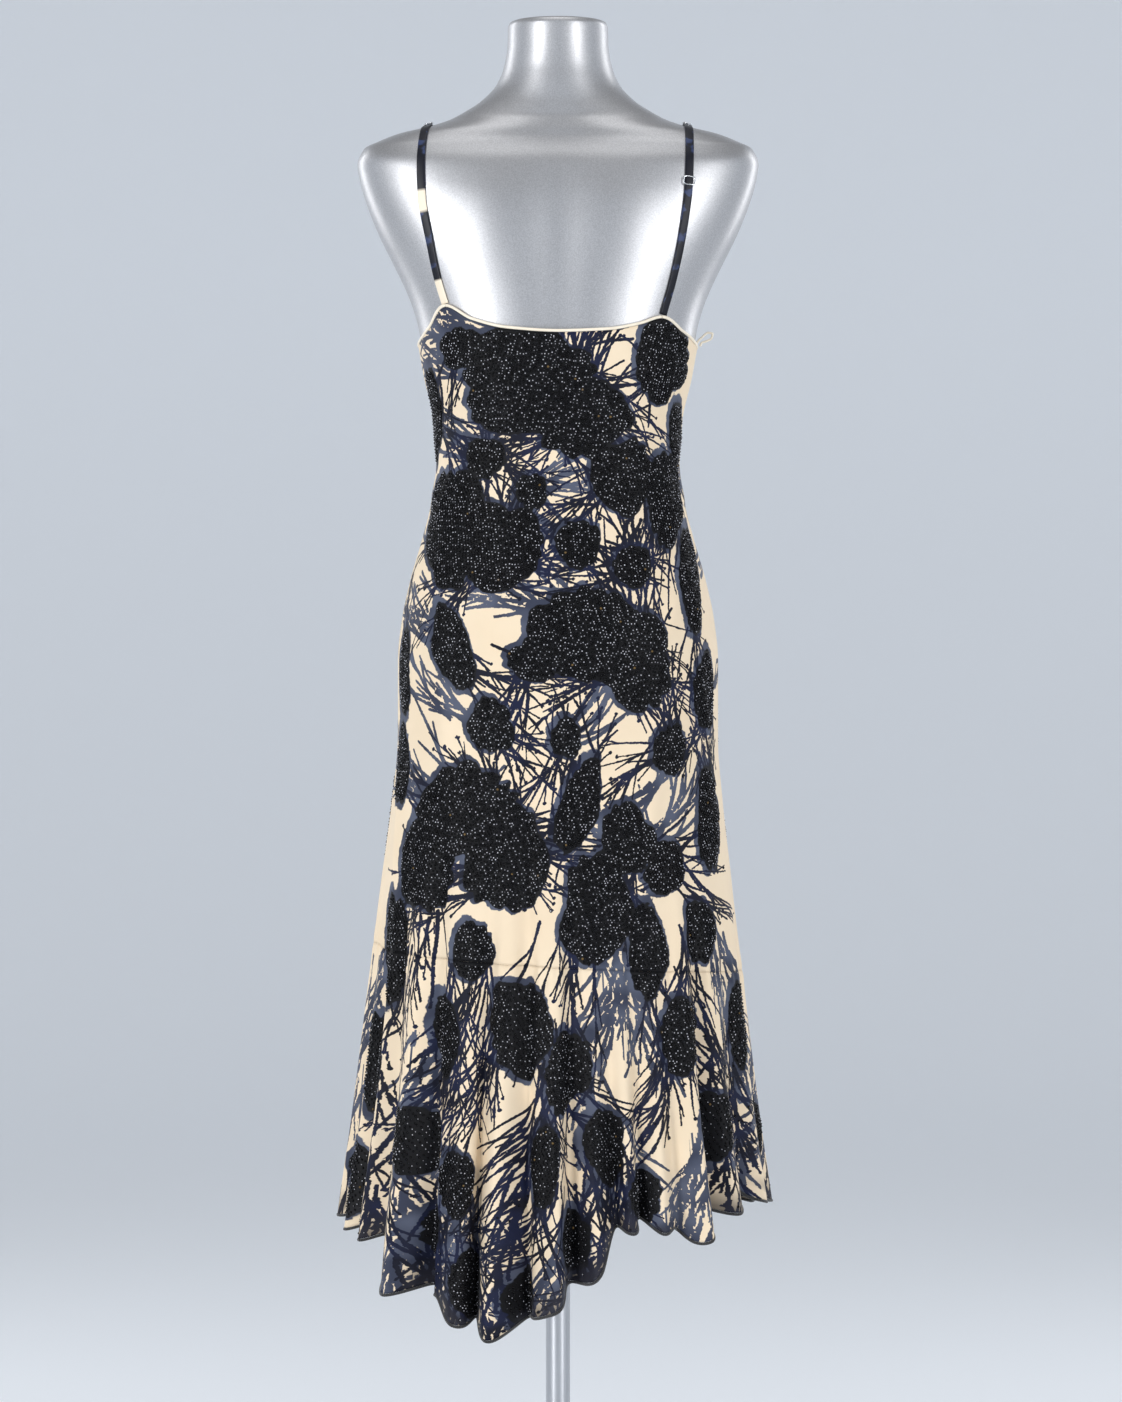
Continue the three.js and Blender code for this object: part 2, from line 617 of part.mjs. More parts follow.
// Stand: turned pieces, with the turning axis laid along Z
function turned(profile, segments) {
  const points = profile.map(([radius, z]) => new THREE.Vector2(radius, z));
  return new THREE.LatheGeometry(points, segments).rotateX(Math.PI / 2);
}
const UNDERCUT = 1;
const base = () => turned([
  [0, 0],
  [BASE_RADIUS - UNDERCUT, 0],
  [BASE_RADIUS, BASE_EDGE],
  [BASE_RADIUS - BASE_BEVEL.out, BASE_EDGE + BASE_BEVEL.up],
  [HUB_RADIUS + HUB_FOOT, BASE_DOME],
  [HUB_RADIUS, BASE_DOME + HUB_FOOT],
  [HUB_RADIUS - HUB_FOOT, HUB_HEIGHT],
  [0, HUB_HEIGHT],
], 36);
const socket = () => turned([
  [0, 0],
  [POLE_RADIUS + SOCKET_NECK, 0],
  [SOCKET_RADIUS, SOCKET_HEIGHT - SOCKET_RIM],
  [SOCKET_RADIUS, SOCKET_HEIGHT],
  [0, SOCKET_HEIGHT],
], 24);
const SOCKET_LOW = FORM_BOTTOM - SEAM_GAP - SOCKET_HEIGHT;
const POLE_LOW = HUB_HEIGHT + SEAM_GAP;
const POLE_LENGTH = SOCKET_LOW - SEAM_GAP - POLE_LOW;
const pole = () =>
  new THREE.CylinderGeometry(POLE_RADIUS, POLE_RADIUS, POLE_LENGTH, 24).rotateX(Math.PI / 2);

const model = new THREE.Group();

function add(name, geometry, color, roughness, metalness) {
  const mesh = new THREE.Mesh(geometry, finish(color, roughness, metalness));
  mesh.name = name;
  model.add(mesh);
  return mesh;
}
const addSilver = (name, geometry) =>
  add(name, geometry, SILVER.color, SILVER.roughness, SILVER.metalness);

// Dress form and stand
addSilver("form_torso", torso());
addSilver("form_socket", socket()).position.z = SOCKET_LOW;
addSilver("form_pole", pole()).position.z = POLE_LOW + POLE_LENGTH / 2;
addSilver("form_base", base());

// Dress
const backHem = steps(SIDE_LEFT + SEAM_TURN, SIDE_RIGHT - SEAM_TURN, FLOUNCE_STEPS);
const frontHem = steps(SIDE_RIGHT + SEAM_TURN, SIDE_LEFT + 360 - SEAM_TURN, FLOUNCE_STEPS);
add("back_body", bodyPanel(backAngles), CREAM, 0.7);
add("front_body", bodyPanel(frontAngles), CREAM, 0.7);
add("back_flounce", flouncePanel(backHem), CREAM, 0.7);
add("front_flounce", flouncePanel(frontHem), CREAM, 0.7);
add("back_hem_roll", hemRoll(backHem), SMOKE, 0.6);
add("front_hem_roll", hemRoll(frontHem), SMOKE, 0.6);
add("back_neck_binding", binding(between(backAngles, BACK_LEFT_STRAP, BACK_RIGHT_STRAP)), CREAM, 0.5);
add("front_neck_binding", binding(between(frontAngles, FRONT_RIGHT_STRAP, FRONT_LEFT_STRAP)), CREAM, 0.5);
add("armhole_binding_right", armholeBinding(rightArmhole), CREAM, 0.5);
add("armhole_binding_left", armholeBinding(leftArmhole), CREAM, 0.5);
add("strap_left", strap(STRAP_LEFT), NAVY, 0.35);
add("strap_right", strap(STRAP_RIGHT), NAVY, 0.35);
add("hanger_loop", hangerLoop(), CREAM, 0.5);

// Strap fittings
const ring = () => new THREE.TorusGeometry(RING_RADIUS, RING_WIRE, 6, 12);
onStrap(addSilver("strap_ring_left", ring()), STRAP_LEFT, RING_AT, STRAP_FACE + RING_WIRE);
onStrap(addSilver("strap_ring_right", ring()), STRAP_RIGHT, RING_AT, STRAP_FACE + RING_WIRE);
onStrap(addSilver("strap_slider_right", slider()), STRAP_RIGHT, SLIDER_AT, STRAP_FACE);

export default model;
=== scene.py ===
# %% [markdown]
# A beaded slip dress on a limbless dress form, seen from its back.
#
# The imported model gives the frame: every piece here is in metres, in that frame, and stands for
# one of its nodes. -Y is the wearer's back, +Y the front, +X the wearer's right, +Z up.

# %% Frame
import math

import bmesh
import bpy
import numpy as np
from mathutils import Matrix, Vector


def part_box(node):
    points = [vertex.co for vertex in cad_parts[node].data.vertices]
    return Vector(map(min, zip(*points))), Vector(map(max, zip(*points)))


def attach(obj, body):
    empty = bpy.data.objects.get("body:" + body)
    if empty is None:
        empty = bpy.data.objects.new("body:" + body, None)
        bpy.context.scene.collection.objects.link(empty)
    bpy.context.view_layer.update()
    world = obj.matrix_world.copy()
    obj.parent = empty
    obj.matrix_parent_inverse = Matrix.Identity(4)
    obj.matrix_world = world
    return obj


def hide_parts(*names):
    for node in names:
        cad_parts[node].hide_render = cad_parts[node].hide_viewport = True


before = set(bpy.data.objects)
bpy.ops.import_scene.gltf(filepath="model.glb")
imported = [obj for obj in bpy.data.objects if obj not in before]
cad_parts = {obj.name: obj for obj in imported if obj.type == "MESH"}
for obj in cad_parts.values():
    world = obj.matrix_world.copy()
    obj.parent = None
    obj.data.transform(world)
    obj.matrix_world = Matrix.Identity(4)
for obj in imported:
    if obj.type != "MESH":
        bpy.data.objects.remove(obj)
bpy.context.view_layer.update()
rng = np.random.default_rng(11)

# %% [markdown]
# Colours are written as the hex values that a picture shows. The shaders want linear light, so one
# function turns them. Another adds a node with its settings and links, and small ones stand on it for
# what nearly every finish needs: a noise, a number kept on the mesh, a colour and a raised face.

# %% Colours and nodes
MM = 0.001


def linear(hex_colour):
    parts = [int(hex_colour[i:i + 2], 16) / 255 for i in (1, 3, 5)]
    return tuple(c / 12.92 if c <= 0.04045 else ((c + 0.055) / 1.055) ** 2.4 for c in parts) + (1.0,)


def node(tree, kind, settings=None, **inputs):
    """Adds a node. Inputs are sockets to link from or plain values; _0, _1 stand for a numbered input."""
    made = tree.nodes.new(kind)
    for name, value in (settings or {}).items():
        setattr(made, name, value)
    for name, value in inputs.items():
        key = int(name[1:]) if name.startswith("_") else name.replace("_", " ")
        socket = made.inputs[key]
        if isinstance(value, bpy.types.NodeSocket):
            tree.links.new(value, socket)
        else:
            socket.default_value = value
    return made


def math_of(tree, operation, *values):
    settings = {"operation": operation}
    inputs = {f"_{i}": value for i, value in enumerate(values)}
    return node(tree, "ShaderNodeMath", settings, **inputs).outputs[0]


def mixed(tree, share, low, high):
    """Colour that goes from low to high with share."""
    made = node(tree, "ShaderNodeMix", {"data_type": "RGBA"}, _0=share, _6=low, _7=high)
    return made.outputs[2]


def ramp(tree, value, low, high):
    """0 below low, 1 above high and straight between them."""
    made = node(tree, "ShaderNodeMapRange", {"clamp": True}, Value=value)
    made.inputs["From Min"].default_value = low
    made.inputs["From Max"].default_value = high
    return made.outputs[0]


def new_material(name, **shader):
    material = bpy.data.materials.new(name)
    material.use_nodes = True
    tree = material.node_tree
    surface = tree.nodes["Principled BSDF"]
    for key, value in shader.items():
        surface.inputs[key.replace("_", " ")].default_value = value
    return material, tree, surface


def object_place(tree):
    return node(tree, "ShaderNodeTexCoord").outputs["Object"]


def noise(tree, place, scale, detail):
    return node(tree, "ShaderNodeTexNoise", Vector=place, Scale=scale, Detail=detail).outputs[0]


def kept(tree, name, output="Fac"):
    """Number or vector that was kept on the points or faces of the mesh."""
    return node(tree, "ShaderNodeAttribute", {"attribute_name": name}).outputs[output]


def paint(tree, surface, colour):
    tree.links.new(colour, surface.inputs["Base Color"])


def bump(tree, surface, height, strength, depth):
    """Raises the face by up to depth millimetres, over the bump that it has already."""
    made = node(tree, "ShaderNodeBump", Strength=strength, Distance=depth * MM, Height=height)
    face = surface.inputs["Normal"]
    if face.is_linked:
        tree.links.new(face.links[0].from_socket, made.inputs["Normal"])
    tree.links.new(made.outputs[0], face)


def put(name, data):
    """Adds an object to the scene."""
    made = bpy.data.objects.new(name, data)
    bpy.context.scene.collection.objects.link(made)
    return made


# %% [markdown]
# The dress's sizes come in millimetres, as a maker writes them down. Each table has one row for a
# section, an edge or a fold, and a smooth line runs through its rows without overshooting them.

# %% Smooth tables
def smooth(rows, column):
    """Function through (key, value) pairs, given as rows of a table and the number of a column."""
    keys = np.array([row[0] for row in rows], float)
    values = np.array([row[column] for row in rows], float)
    slopes = np.diff(values) / np.diff(keys)
    both = slopes[:-1] * slopes[1:]
    total = slopes[:-1] + slopes[1:]
    inner = np.where(both > 0, 2 * both / np.where(total == 0, 1, total), 0)
    tangents = np.concatenate([slopes[:1], inner, slopes[-1:]])

    def at(x):
        x = np.asarray(x, float)
        i = np.clip(np.searchsorted(keys, x, side="right") - 1, 0, len(keys) - 2)
        span = keys[i + 1] - keys[i]
        t = np.clip((x - keys[i]) / span, 0, 1)
        line = values[i] + (values[i + 1] - values[i]) * t * t * (3 - 2 * t)
        return line + span * (t * (1 - t) ** 2 * tangents[i] + t * t * (t - 1) * tangents[i + 1])

    return at


# %% Sections of the form and of the dress
# Columns: height, half width, depth to the back, depth to the front, squareness
FORM = [
    (800, 122, 72, 72, 2.2), (806, 130, 79, 78, 2.2), (840, 140, 88, 84, 2.2), (877, 149, 99, 92, 2.25),
    (917, 154.5, 108, 98, 2.3), (957, 156, 111.5, 102, 2.3), (997, 152, 108.5, 102, 2.3),
    (1037, 143.5, 101, 100, 2.3), (1077, 132, 92, 97, 2.25), (1117, 122, 84.5, 93, 2.2),
    (1157, 117.5, 81, 91, 2.2), (1197, 120.5, 84, 96, 2.2), (1237, 129.5, 91, 108, 2.25),
    (1267, 135.5, 95.5, 116, 2.3), (1291, 140, 98, 119, 2.3), (1315, 147.5, 99, 117.5, 2.3),
    (1347, 162, 98.5, 111, 2.35), (1379, 178, 96, 102, 2.45), (1411, 191, 91, 91, 2.55),
    (1435, 198, 85, 81, 2.6), (1451, 200.5, 80, 74, 2.6), (1467, 194, 72, 66, 2.5),
    (1474, 180.5, 69, 63, 2.35), (1482, 160.5, 66.5, 60, 2.2), (1489, 131, 64, 57.5, 2.1),
    (1496, 109.5, 61.5, 55.5, 2), (1505, 92.5, 59.5, 53.5, 2), (1514, 78.5, 57.5, 52, 2),
    (1531, 62, 55, 50.5, 2), (1550, 54, 52, 50, 2), (1572, 50.5, 50.5, 50, 2), (1589, 50, 50, 50, 2),
    (1593.5, 48, 48, 48, 2), (1595, 45, 45, 45, 2),
]
DRESS = [
    (260, 220, 168, 160, 2.05), (340, 214, 162, 154, 2.05), (417, 207, 155, 148, 2.1),
    (497, 198, 147, 141, 2.1), (577, 190, 138, 133, 2.15), (657, 182, 128, 124, 2.2),
    (737, 173.5, 120, 116, 2.25), (817, 164.5, 115.5, 110, 2.3), (877, 160, 115, 107, 2.3),
    (957, 160, 115.5, 106.5, 2.3), (997, 156, 112.5, 106.5, 2.3), (1037, 147.5, 105.5, 105, 2.3),
    (1077, 136, 96.5, 102, 2.25), (1117, 126, 89.5, 98.5, 2.2), (1157, 121.5, 86.5, 97, 2.2),
    (1197, 124.5, 89, 102, 2.2), (1237, 133.5, 95.5, 113.5, 2.25), (1267, 139, 99.5, 121, 2.3),
    (1291, 143.5, 101.5, 124, 2.3), (1315, 151, 102.5, 122.5, 2.3), (1347, 165.5, 102, 116, 2.35),
    (1379, 181.5, 99.5, 106.5, 2.45), (1411, 194.5, 94.5, 95.5, 2.55),
]

# Columns: angle round the body, from the centre back towards the right side, and height
SIDE_RIGHT, SIDE_LEFT = 90, -90
BACK_LEFT_STRAP, BACK_RIGHT_STRAP, FRONT_RIGHT_STRAP, FRONT_LEFT_STRAP = -46, 43, 148, 212
TOP_EDGE = [
    (-90, 1269), (-75, 1273), (-60, 1284), (-46, 1304), (-35, 1290.5), (-20, 1281), (0, 1277.5),
    (20, 1279.5), (33, 1285.5), (43, 1292.5), (57, 1280), (75, 1270.5), (90, 1267), (105, 1272),
    (121, 1293), (136, 1334), (148, 1370), (157, 1352), (168, 1338), (180, 1333), (192, 1338),
    (203, 1352), (212, 1370), (224, 1334), (239, 1293), (255, 1273), (270, 1269),
]
LOW_SEAM = [(-90, 676), (-40, 664), (0, 656), (45, 650), (90, 647), (180, 658), (270, 676)]
HEM = [
    (-90, 408), (-71, 398), (-57, 386), (-49, 348), (-38, 337), (-26, 317), (-15, 305), (-1, 334),
    (7, 351), (14, 396), (24, 405), (36, 394), (48, 412), (62, 427), (90, 421), (135, 412),
    (180, 406), (225, 410), (270, 408),
]
# Flutes of the skirt. Columns: angle, half width in degrees, size outwards, size sideways, drop of the
# hem, height where it starts
FLUTES = [
    (-88, 8.5, 14, 0, 4, 900), (-72, 7, 11, -4, 7, 700), (-60, 6.5, 13, -5, 8, 760),
    (-46, 8.5, 19, -4, 10, 820), (-28, 8.5, 16, 5, 12, 720), (-15, 7, 23, -5, 12, 790),
    (-1, 8, 17, 5, 10, 840), (10, 5.5, 14, 4, 9, 700), (20, 5.5, 11, 3, 5, 660), (30, 6, 15, -4, 6, 780),
    (40, 8, 20, 3, 12, 740), (54, 7, 13, 4, 9, 690), (71, 8, 14, 3, 7, 780), (88, 8, 9, 0, 5, 720),
    (104, 8, 14, 4, 8, 760), (119, 7.5, 17, -4, 9, 700), (134, 8.5, 20, 5, 12, 800),
    (150, 7.5, 14, -3, 8, 720), (164, 7, 18, 4, 10, 770), (179, 8.5, 21, -4, 12, 820),
    (194, 7, 14, 4, 7, 700), (208, 8, 19, 5, 11, 780), (224, 8, 15, -5, 8, 740),
    (239, 7.5, 18, 4, 10, 800), (254, 7.5, 12, -4, 7, 700),
]
# Height at which flutes and folds have their full size
HEM_LEVEL = 400
# Height below which the skirt ripples and draws in, and how far it draws in at the hem
SKIRT_TOP, FLUTE_REST = 800, 2.2
WALL = 0.7
SEAM_GAP = 0.06

form_at = [smooth(FORM, column) for column in (1, 2, 3, 4)]
dress_at = [smooth(DRESS, column) for column in (1, 2, 3, 4)]
top_edge = smooth(TOP_EDGE, 1)
low_seam = smooth(LOW_SEAM, 1)
hem_line = smooth(HEM, 1)


def section(table, angle, z):
    """Points of a rounded section: its sides and depths are those of the table at height z."""
    turn = np.radians(angle)
    across, through = np.sin(turn), np.cos(turn)
    side, back, front, square = (column(z) for column in table)
    size = (np.abs(across) ** square + np.abs(through) ** square) ** (1 / square)
    depth = np.where(through > 0, back, front)
    return np.stack([side * across / size, -depth * through / size, z + 0 * across], axis=-1)


def degrees_from(angle, at):
    """Degrees from one angle to another, the short way round."""
    return (np.asarray(angle) - at + 180) % 360 - 180


def flute_share(flute, angle):
    return np.cos(np.minimum(np.abs(degrees_from(angle, flute[0])) / flute[1], 1) * np.pi / 2) ** 2


# %% [markdown]
# Cloth on a body is never quite smooth. Besides the flutes, soft ridges run where the bias cut pulls
# at the waist and hip, and small ripples run down the skirt. Each ridge is listed one by one.

# %% Creases and ripples
# Columns: angle, height, half length, half width, size, tilt from upright in degrees
CREASES = [
    (-62, 1150, 55, 9, 1.7, 58), (-70, 1112, 48, 8, 1.4, 66), (-52, 1075, 70, 10, 1.6, 40),
    (-30, 1010, 80, 12, 1.5, 24), (-58, 965, 62, 10, 1.8, -22), (-18, 905, 90, 10, 1.9, 12),
    (58, 1145, 50, 9, 1.6, -56), (66, 1100, 55, 8, 1.5, -62), (40, 985, 72, 11, 1.5, -28),
    (20, 930, 88, 10, 1.7, -10), (62, 905, 70, 9, 1.8, 14), (4, 860, 82, 7, 2.4, 3),
    (-40, 830, 95, 9, 2.6, 5), (32, 805, 90, 9, 2.4, -6), (-70, 800, 88, 9, 2.2, 8),
    (0, 1200, 60, 12, 1.2, 80), (-24, 1232, 44, 8, 1.2, 62), (30, 1228, 46, 8, 1.1, -60),
    (118, 1140, 52, 9, 1.6, 55), (132, 1090, 60, 9, 1.5, 38), (160, 1180, 58, 10, 1.5, 70),
    (205, 1175, 55, 9, 1.5, -66), (228, 1120, 62, 9, 1.6, -44), (246, 1080, 50, 9, 1.4, -60),
    (150, 960, 85, 11, 1.6, 16), (196, 930, 90, 10, 1.8, -12), (226, 880, 84, 9, 2.0, -8),
    (128, 850, 92, 9, 2.3, 7), (176, 830, 96, 9, 2.5, 2), (250, 820, 86, 9, 2.2, 6),
]
# Columns: waves round the skirt, phase, size at the hem
RIPPLES = [(41, 0.4, 1.1), (67, 2.1, 0.7), (29, 4.0, 1.3)]
# Deep folds between the flutes, where the cloth turns in and one side covers the other.
# Columns: angle, half width in degrees, depth, shift of the cover, height where it starts
FOLDS = [
    (-80, 3.2, 12, -5, 640), (-66, 2.9, 11, 5, 720), (-56.5, 2.6, 12, 6, 800), (-39.5, 3.4, 17, 7, 850),
    (-33, 2.3, 9, -4, 620), (-20.5, 3.0, 15, -6, 780), (-10.5, 2.8, 18, 7, 900), (4, 3.1, 15, -6, 860),
    (14.5, 2.6, 13, 6, 700), (24.5, 2.8, 13, -5, 760), (32.5, 2.5, 11, 5, 640), (47, 3.3, 16, -7, 820),
    (61.5, 3.0, 12, 5, 700), (79, 3.4, 12, -5, 740), (96, 3.3, 12, 5, 700), (111.5, 3.1, 14, -6, 760),
    (126.5, 2.9, 13, 5, 680), (142.5, 3.2, 16, 7, 820), (157, 2.8, 12, -5, 700), (171.5, 3.0, 15, 6, 840),
    (187, 3.1, 14, -6, 760), (201, 2.7, 12, 5, 690), (216, 3.2, 15, -6, 800), (231.5, 2.9, 13, 5, 720),
    (246.5, 3.1, 13, -5, 760), (262, 3.0, 11, 4, 680),
]
# Each flute's edge hangs low and each fold draws it up, so the hem is a row of rounded lobes
HEM_LOBES, FOLD_LIFT, FOLD_SPREAD = 0.55, 10.0, 1.0
# The low seam draws the cloth in along a shallow groove, with small gathers above and below it
GROOVE_DEPTH, GROOVE_WIDTH = 0.7, 3.4
GATHER_SIZE, GATHER_WAVES, GATHER_REACH = 0.85, 92, 20


def hem(angle):
    z = hem_line(angle)
    for flute in FLUTES:
        z = z - HEM_LOBES * flute[4] * flute_share(flute, angle)
    for at, half, *_ in FOLDS:
        z = z + FOLD_LIFT * np.exp(-((degrees_from(angle, at) / (FOLD_SPREAD * half)) ** 2))
    return z


def around(table, z):
    """Millimetres round the body for one degree, at height z."""
    side, back, front, _ = (column(z) for column in table)
    depth = (back + front) / 2
    return np.sqrt((side ** 2 + depth ** 2) / 2) * np.pi / 180


def dress_points(angle, z):
    point = section(dress_at, angle, z)
    along = section(dress_at, angle + 0.5, z) - section(dress_at, angle - 0.5, z)
    along /= np.linalg.norm(along, axis=-1, keepdims=True)
    outwards = np.stack([along[..., 1], -along[..., 0], 0 * z], axis=-1)
    out = np.zeros_like(point[..., 0])
    sideways = np.zeros_like(out)
    for flute in FLUTES:
        fallen = np.clip((flute[5] - z) / (flute[5] - HEM_LEVEL), 0, 1.15) ** 1.3
        share = flute_share(flute, angle) * fallen
        out += flute[2] * share
        sideways += flute[3] * share
    for at, half, depth, cover, start in FOLDS:
        fallen = np.clip((start - z) / (start - HEM_LEVEL), 0, 1.1) ** 1.2
        near = np.exp(-((degrees_from(angle, at) / half) ** 2)) * fallen
        out -= depth * near
        sideways += cover * near
    down = np.clip((SKIRT_TOP - z) / (SKIRT_TOP - HEM_LEVEL), 0, 1)
    out -= FLUTE_REST * down * down * (3 - 2 * down)
    for waves, phase, size in RIPPLES:
        out += size * down ** 1.5 * np.sin(np.radians(angle) * waves + phase + z / 260)
    return point + outwards * out[..., None] + along * sideways[..., None]


def crease_rise(angle, z):
    rise = np.zeros_like(np.asarray(angle, float))
    for at, height, half_length, half_width, size, tilt in CREASES:
        u = degrees_from(angle, at) * around(dress_at, height)
        v = z - height
        lean = math.radians(tilt)
        across = u * math.cos(lean) + v * math.sin(lean)
        down = v * math.cos(lean) - u * math.sin(lean) + across ** 2 / 90
        rise += size * np.exp(-((across / half_width) ** 2) - (down / half_length) ** 2)
    from_seam = z - low_seam(angle)
    waves = np.radians(angle) * GATHER_WAVES + 2.2 * np.sin(np.radians(angle) * 7)
    rise += GATHER_SIZE * np.sin(waves) * np.exp(-((from_seam / GATHER_REACH) ** 2))
    return rise - GROOVE_DEPTH * np.exp(-((from_seam / GROOVE_WIDTH) ** 2))


def cloth(angle, z, depth=0.0):
    """Points at a depth under the outer face of the dress, and the directions away from it."""
    angle, z = np.broadcast_arrays(np.asarray(angle, float), np.asarray(z, float))
    across = dress_points(angle + 0.3, z) - dress_points(angle - 0.3, z)
    up = dress_points(angle, z + 2) - dress_points(angle, z - 2)
    away = np.cross(across, up)
    away /= np.linalg.norm(away, axis=-1, keepdims=True)
    rise = crease_rise(angle, z) - depth
    return dress_points(angle, z) + away * rise[..., None], away


# %% [markdown]
# Nearly every piece here is a strip bent into place: cloth, binding, strap or shell. So one helper
# makes a flat grid with a bmesh operator, bends it with a function of its two directions, closes it
# round where it is a tube, and fills its ends.

# %% Bent grids
def close_tube(mesh, ring=False):
    """Joins the long edges of a bent strip, and fills its two ends unless it is a ring."""
    bm = bmesh.new()
    bm.from_mesh(mesh)
    bmesh.ops.remove_doubles(bm, verts=bm.verts, dist=1e-6)
    if not ring:
        bmesh.ops.holes_fill(bm, edges=[edge for edge in bm.edges if edge.is_boundary], sides=0)
    bmesh.ops.recalc_face_normals(bm, faces=bm.faces)
    bm.to_mesh(mesh)
    bm.free()


def bent(name, columns, rows, place, material, tube=False, ring=False):
    """Grid of columns by rows faces, bent by place(u, v), which gives millimetres for u, v from 0 to 1."""
    bm = bmesh.new()
    bmesh.ops.create_grid(bm, x_segments=columns, y_segments=rows, size=0.5)
    mesh = bpy.data.meshes.new(name)
    bm.to_mesh(mesh)
    bm.free()
    flat = np.empty(len(mesh.vertices) * 3)
    mesh.vertices.foreach_get("co", flat)
    u, v = (flat.reshape(-1, 3)[:, :2] + 0.5).T
    points = place(u, v) * MM
    mesh.vertices.foreach_set("co", points.ravel())
    mesh.update()
    if tube:
        close_tube(mesh, ring)
    piece = put(name, mesh)
    mesh.shade_smooth()
    mesh.materials.append(material)
    return piece, u, v


def keep(mesh, name, kind, values, domain="POINT"):
    """Keeps a number or a vector on every point or face of a mesh."""
    attribute = mesh.attributes.new(name, kind, domain)
    field = "vector" if kind == "FLOAT_VECTOR" else "value"
    attribute.data.foreach_set(field, np.ascontiguousarray(values, dtype=np.float32).ravel())


def dressed(piece, slot, *nodes):
    """Says which body a piece rides on and the nodes it stands for. The finish it takes, slot, is not used.
    """
    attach(piece, "root")
    if nodes:
        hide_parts(*nodes)
    print(piece.name, len(piece.data.polygons), "faces")
    return piece


# %% [markdown]
# The form is a moulded shell sprayed with metallic silver. Fine flakes in the lacquer spread each
# reflection, so it is a metal with a middling roughness, and a faint grain breaks up the highlight.

# %% Silver lacquer and steel
form_paint, tree, surface = new_material(
    "metallic lacquer, sprayed", Metallic=0.85, Roughness=0.4, Coat_Weight=0.08, Coat_Roughness=0.3
)
flakes = noise(tree, object_place(tree), 900.0, 1.0)
paint(tree, surface, mixed(tree, ramp(tree, flakes, 0.35, 0.65), linear("#B4B4B6"), linear("#C6C6C8")))
rough = node(tree, "ShaderNodeMapRange", Value=noise(tree, object_place(tree), 6.0, 2.0))
rough.inputs["To Min"].default_value = 0.37
rough.inputs["To Max"].default_value = 0.42
tree.links.new(rough.outputs[0], surface.inputs["Roughness"])
bump(tree, surface, flakes, 0.04, 0.2)

# Plated steel, satin finished: long fine brush lines draw the lights out across the tube
stand_metal, tree, surface = new_material("steel, satin plated", Metallic=1.0, Roughness=0.34)
stretched = node(tree, "ShaderNodeMapping", Vector=object_place(tree), Scale=(900, 900, 25)).outputs[0]
lines = noise(tree, stretched, 1.0, 2.0)
paint(tree, surface, mixed(tree, lines, linear("#A9ABAF"), linear("#C8CACE")))
bump(tree, surface, lines, 0.08, 0.2)

# %% [markdown]
# The shell itself: one bent grid, closed round, with rows close together where the shoulder turns.
# A shallow groove follows the spine between two low shoulder blades, as on a body.

# %% Form
FORM_ROWS_EACH = 4
SPINE_DEPTH, SPINE_WIDTH, SPINE_HEIGHT, SPINE_LENGTH = 4.0, 24.0, 1340, 130
BLADE_RISE, BLADE_AWAY, BLADE_HEIGHT, BLADE_WIDTH, BLADE_LENGTH = 3.0, 62.0, 1392.0, 34, 55

levels = [row[0] for row in FORM]
steps = [np.linspace(low, high, FORM_ROWS_EACH, endpoint=False) for low, high in zip(levels, levels[1:])]
heights = np.concatenate([*steps, levels[-1:]])


def form_shell(u, v):
    z = heights[np.rint(v * (len(heights) - 1)).astype(int)]
    points = section(form_at, u * 360, z)
    x, y = points[:, 0], points[:, 1]
    at_back = np.clip(-y / 40, 0, 1)
    spine = np.exp(-((x / SPINE_WIDTH) ** 2) - ((z - SPINE_HEIGHT) / SPINE_LENGTH) ** 2)
    beside = (np.abs(x) - BLADE_AWAY) / BLADE_WIDTH
    blades = np.exp(-(beside ** 2) - ((z - BLADE_HEIGHT) / BLADE_LENGTH) ** 2)
    points[:, 1] += (SPINE_DEPTH * spine - BLADE_RISE * blades) * at_back
    return points


torso, _, _ = bent("form_shell", 128, len(heights) - 1, form_shell, form_paint, tube=True)
dressed(torso, "form_paint", "form_torso")
for name in ("form_socket", "form_pole", "form_base"):
    low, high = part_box(name)
    print(name, [round(float(x), 4) for x in (*low, *high)])


# %% [markdown]
# The stand is turned metal: a tube, a domed plate with a hub, and a flange under the form. Each is a
# profile spun once round the upright axis, so it comes out round and closed.

# %% Stand
def spun(name, profile, *nodes):
    """Profile of (radius, height) corners in millimetres, spun round the upright axis and softened."""
    bm = bmesh.new()
    verts = [bm.verts.new((radius * MM, 0, height * MM)) for radius, height in profile]
    edges = [bm.edges.new(pair) for pair in zip(verts, verts[1:])]
    bmesh.ops.spin(
        bm, geom=verts + edges, cent=(0, 0, 0), axis=(0, 0, 1), angle=math.tau, steps=96, use_merge=True
    )
    bmesh.ops.remove_doubles(bm, verts=bm.verts, dist=1e-6)
    bmesh.ops.recalc_face_normals(bm, faces=bm.faces)
    mesh = bpy.data.meshes.new(name)
    bm.to_mesh(mesh)
    bm.free()
    piece = put(name, mesh)
    mesh.materials.append(stand_metal)
    mesh.shade_smooth()
    mesh.set_sharp_from_angle(angle=math.radians(35))
    return dressed(piece, "stand_metal", *nodes)


def corner(radius, height, size, turn):
    """Four points round a corner, from turn on by a quarter circle, in degrees."""
    steps = [math.radians(turn + a) for a in (0, 30, 60, 90)]
    return [(radius + size * math.cos(a), height + size * math.sin(a)) for a in steps]


